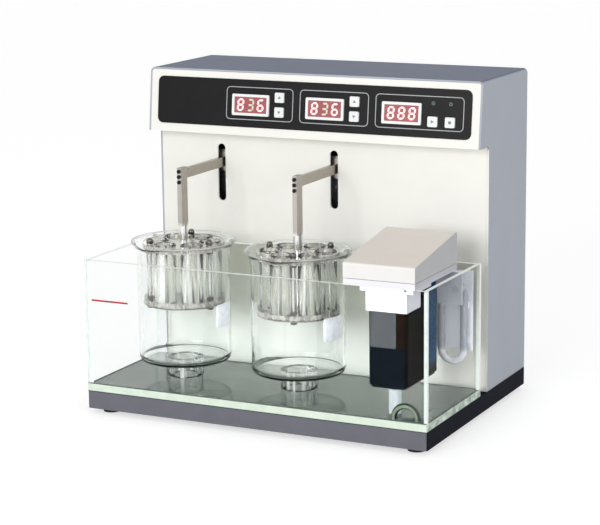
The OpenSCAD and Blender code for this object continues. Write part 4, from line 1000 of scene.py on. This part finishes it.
def beaker_lamp_reflection(side, columns=24):
    """A painted reflection of a lamp: a pale field bent round the beaker's wall, with rounded
    corners.
    """
    verts = []
    for k in range(columns + 1):
        along = PATCH_W * k / columns
        inset = max(0.0, PATCH_CORNER - min(along, PATCH_W - along))
        arc = math.sqrt(max(0.0, PATCH_CORNER ** 2 - inset ** 2))
        half = PATCH_H / 2 - PATCH_CORNER + arc
        a = math.radians(PATCH_TURN[side]) + (along - PATCH_W / 2) / BEAKER_R
        for radius, z in ((BEAKER_R + PATCH_IN, -half), (BEAKER_R + PATCH_OUT, -half),
                          (BEAKER_R + PATCH_OUT, half), (BEAKER_R + PATCH_IN, half)):
            verts.append((DRIVE_X[side] + radius * math.cos(a),
                          BASKET_Y + radius * math.sin(a), PATCH_Z + z))
    faces = [(4 * k + i, 4 * k + (i + 1) % 4, 4 * k + 4 + (i + 1) % 4, 4 * k + 4 + i)
             for k in range(columns) for i in range(4)]
    faces += [(3, 2, 1, 0), tuple(4 * columns + i for i in range(4))]
    return verts, faces


for side in SIDES:
    made = piece(side + "_beaker_glass", *beaker_wall(side), "cabinet", beaker_glass,
                 "lab_glass", True)
    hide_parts(side + "_beaker")
    # each beaker's painted reflection of a lamp
    piece(side + "_beaker_patch", *beaker_lamp_reflection(side), "cabinet", enamel, "lab_glass", True)


# ---- basket racks ----

def spun(section, steps):
    """A closed shape turned about the upright axis from (radius, height) pairs, axis to axis."""
    verts = [(r * math.cos(2 * math.pi * k / steps), r * math.sin(2 * math.pi * k / steps), z)
             for r, z in section[1:-1] for k in range(steps)]
    n = len(section) - 2
    faces = [(i * steps + k, i * steps + (k + 1) % steps, (i + 1) * steps + (k + 1) % steps,
              (i + 1) * steps + k) for i in range(n - 1) for k in range(steps)]
    under, over = len(verts), len(verts) + 1
    verts += [(0, 0, section[0][1]), (0, 0, section[-1][1])]
    faces += [(under, (k + 1) % steps, k) for k in range(steps)]
    faces += [(over, (n - 1) * steps + k, (n - 1) * steps + (k + 1) % steps)
              for k in range(steps)]
    return verts, faces


def hexagon_nut(z):
    c = NUT_CHAMFER
    return spun([(0, z), (NUT_R - 0.7, z), (NUT_R, z + c), (NUT_R, z + NUT_H - c),
                 (NUT_R - 0.7, z + NUT_H), (0, z + NUT_H)], 6)


def post_item():
    """One basket post with chamfered ends and a domed cap, and its four hexagon nuts."""
    r, c = POST_R, 0.5
    rod = spun([(0, POST_LOW), (r - c, POST_LOW), (r, POST_LOW + c),
                (r, 0.6 * POST_LOW + 0.4 * POST_TOP), (r, POST_TOP - 6),
                (NUT_R - 0.6, POST_TOP - 5), (NUT_R - 0.5, POST_TOP - 2.6),
                (NUT_R - 1.2, POST_TOP - 1), (r - c, POST_TOP - 0.2), (0, POST_TOP)], 24)
    verts, faces = joined([rod] + [hexagon_nut(z) for z in NUT_LOWS])
    mesh = in_metres("post_item", verts, faces)
    mesh.polygons.foreach_set("use_smooth", [len(f) == 4 and max(f) < len(rod[0]) for f in faces])
    return stand("post_item", mesh)


tubes, posts, weave = tube_tree(tube_glass), item_tree(post_metal), wire_tree(wire_metal)
post = post_item()
for side in SIDES:
    rack = side + "_rack"
    turn = math.radians(BASKET_TURN[side])
    place = {"X": DRIVE_X[side] * MM, "Y": BASKET_Y * MM}
    tubes.make(side + "_glass_tubes", {
        "Count": 6, "Ring": TUBE_RING * MM, "Turn": turn + math.pi / 6, "Radius": TUBE_R * MM,
        "Wall": TUBE_WALL * MM, "Low": TUBE_LOW * MM, "Height": (TUBE_TOP - TUBE_LOW) * MM,
        **place}, rack, "lab_glass", side + "_basket_tubes")
    posts.make(side + "_posts_and_nuts", {
        "Item": post, "Count": 3, "Ring": POST_RING * MM, "Turn": turn, **place},
        rack, "stainless", side + "_basket_posts")
    weave.make(side + "_woven_mesh", {
        "Radius": MESH_R * MM, "Rim": MESH_RIM * MM, "Pitch": WIRE_PITCH * MM,
        "Wire": WIRE_R * MM, "Count": WIRE_COUNT, "Turn": turn, "Z": MESH_Z * MM,
        **place}, rack, "stainless", side + "_basket_mesh")
bpy.data.objects.remove(post)

# ---- tank ----

level_outline = [(LEVEL_X[0], LEVEL_Z - LEVEL_H / 2), (LEVEL_X[1], LEVEL_Z - LEVEL_H / 2),
                 (LEVEL_X[1], LEVEL_Z + LEVEL_H / 2), (LEVEL_X[0], LEVEL_Z + LEVEL_H / 2)]
level_line = prism(level_outline, 0, LEVEL_T, lambda x, z, out: (x, TANK_FRONT_Y - out, z))
piece("level_line", *level_line, "cabinet", level_red, "clear_acrylic")

# ---- camera, floor and light, in metres ----

CAMERA_PLACE = (1.0067, -2.0709, 0.6479)
AZIMUTH, ELEVATION, ROLL = math.radians(26.18), math.radians(11.86), math.radians(-0.63)
LENS_PIXELS, WIDTH_PIXELS, SENSOR = 2042.11, 600, 36.0
back = Vector((math.sin(AZIMUTH) * math.cos(ELEVATION), -math.cos(AZIMUTH) * math.cos(ELEVATION),
               math.sin(ELEVATION)))
level = (-back).cross(Vector((0, 0, 1))).normalized()
raised = level.cross(-back)
right = level * math.cos(ROLL) + raised * math.sin(ROLL)
up = raised * math.cos(ROLL) - level * math.sin(ROLL)
lens = bpy.data.cameras.new("camera")
lens.sensor_width = SENSOR
lens.lens = LENS_PIXELS / WIDTH_PIXELS * SENSOR
camera = stand("camera", lens)
turned = Matrix((right, up, back)).transposed().to_4x4()
camera.matrix_world = Matrix.Translation(CAMERA_PLACE) @ turned
bpy.context.scene.camera = camera


def lamp(name, place, size, power):
    """A soft rectangular lamp at place that looks at the middle of the object."""
    light = bpy.data.lights.new(name, "AREA")
    light.shape, light.size, light.size_y = "RECTANGLE", size[0], size[1]
    light.energy = power
    made = stand(name, light)
    made.location = place
    made.rotation_mode = "QUATERNION"
    made.rotation_quaternion = (Vector(LAMP_AIM) - Vector(place)).to_track_quat("-Z", "Y")


LAMP_AIM = (0, 0, 0.2)
lamp("key_light", (-0.25, -2.95, 0.95), (1.6, 1.2), 43)
lamp("fill_light", (2.3, -1.0, 0.7), (1.2, 1.0), 15)

FLOOR_REACH = 6
floor = bpy.data.meshes.new("floor")
floor.from_pydata([(x * FLOOR_REACH, y * FLOOR_REACH, 0)
                   for x, y in ((-1, -1), (1, -1), (1, 1), (-1, 1))], [], [(0, 1, 2, 3)])
floor_look = Finish("floor_white", base_color=(0.55, 0.55, 0.55, 1), roughness=0.6,
                    specular_ior_level=0.1, emission_strength=0.62)
floor_look.set("Emission Color", floor_look.mix(
    floor_look.sees_white(), (0.1, 0.1, 0.1, 1), (1, 1, 1, 1)))
floor.materials.append(floor_look.material)
floor_object = stand("floor", floor)

# the surroundings look white, and light the object at a lower strength
LIGHTING, LOOKING = 0.55, 1.0
world = bpy.data.worlds.new("studio")
bpy.context.scene.world = world
world.use_nodes = True
sky = Nodes(world.node_tree)
shade = sky.tree.nodes["Background"]
shade.inputs["Color"].default_value = (1, 1, 1, 1)
strength = sky.sees_white() * (LOOKING - LIGHTING) + LIGHTING
sky.tree.links.new(strength.socket, shade.inputs["Strength"])

bpy.context.scene.view_settings.view_transform = "Standard"
# enough bounces to see through tank, beaker and tubes, front and back
BOUNCES = 40
bpy.context.scene.cycles.max_bounces = BOUNCES
bpy.context.scene.cycles.transmission_bounces = BOUNCES
bpy.context.scene.cycles.transparent_max_bounces = BOUNCES
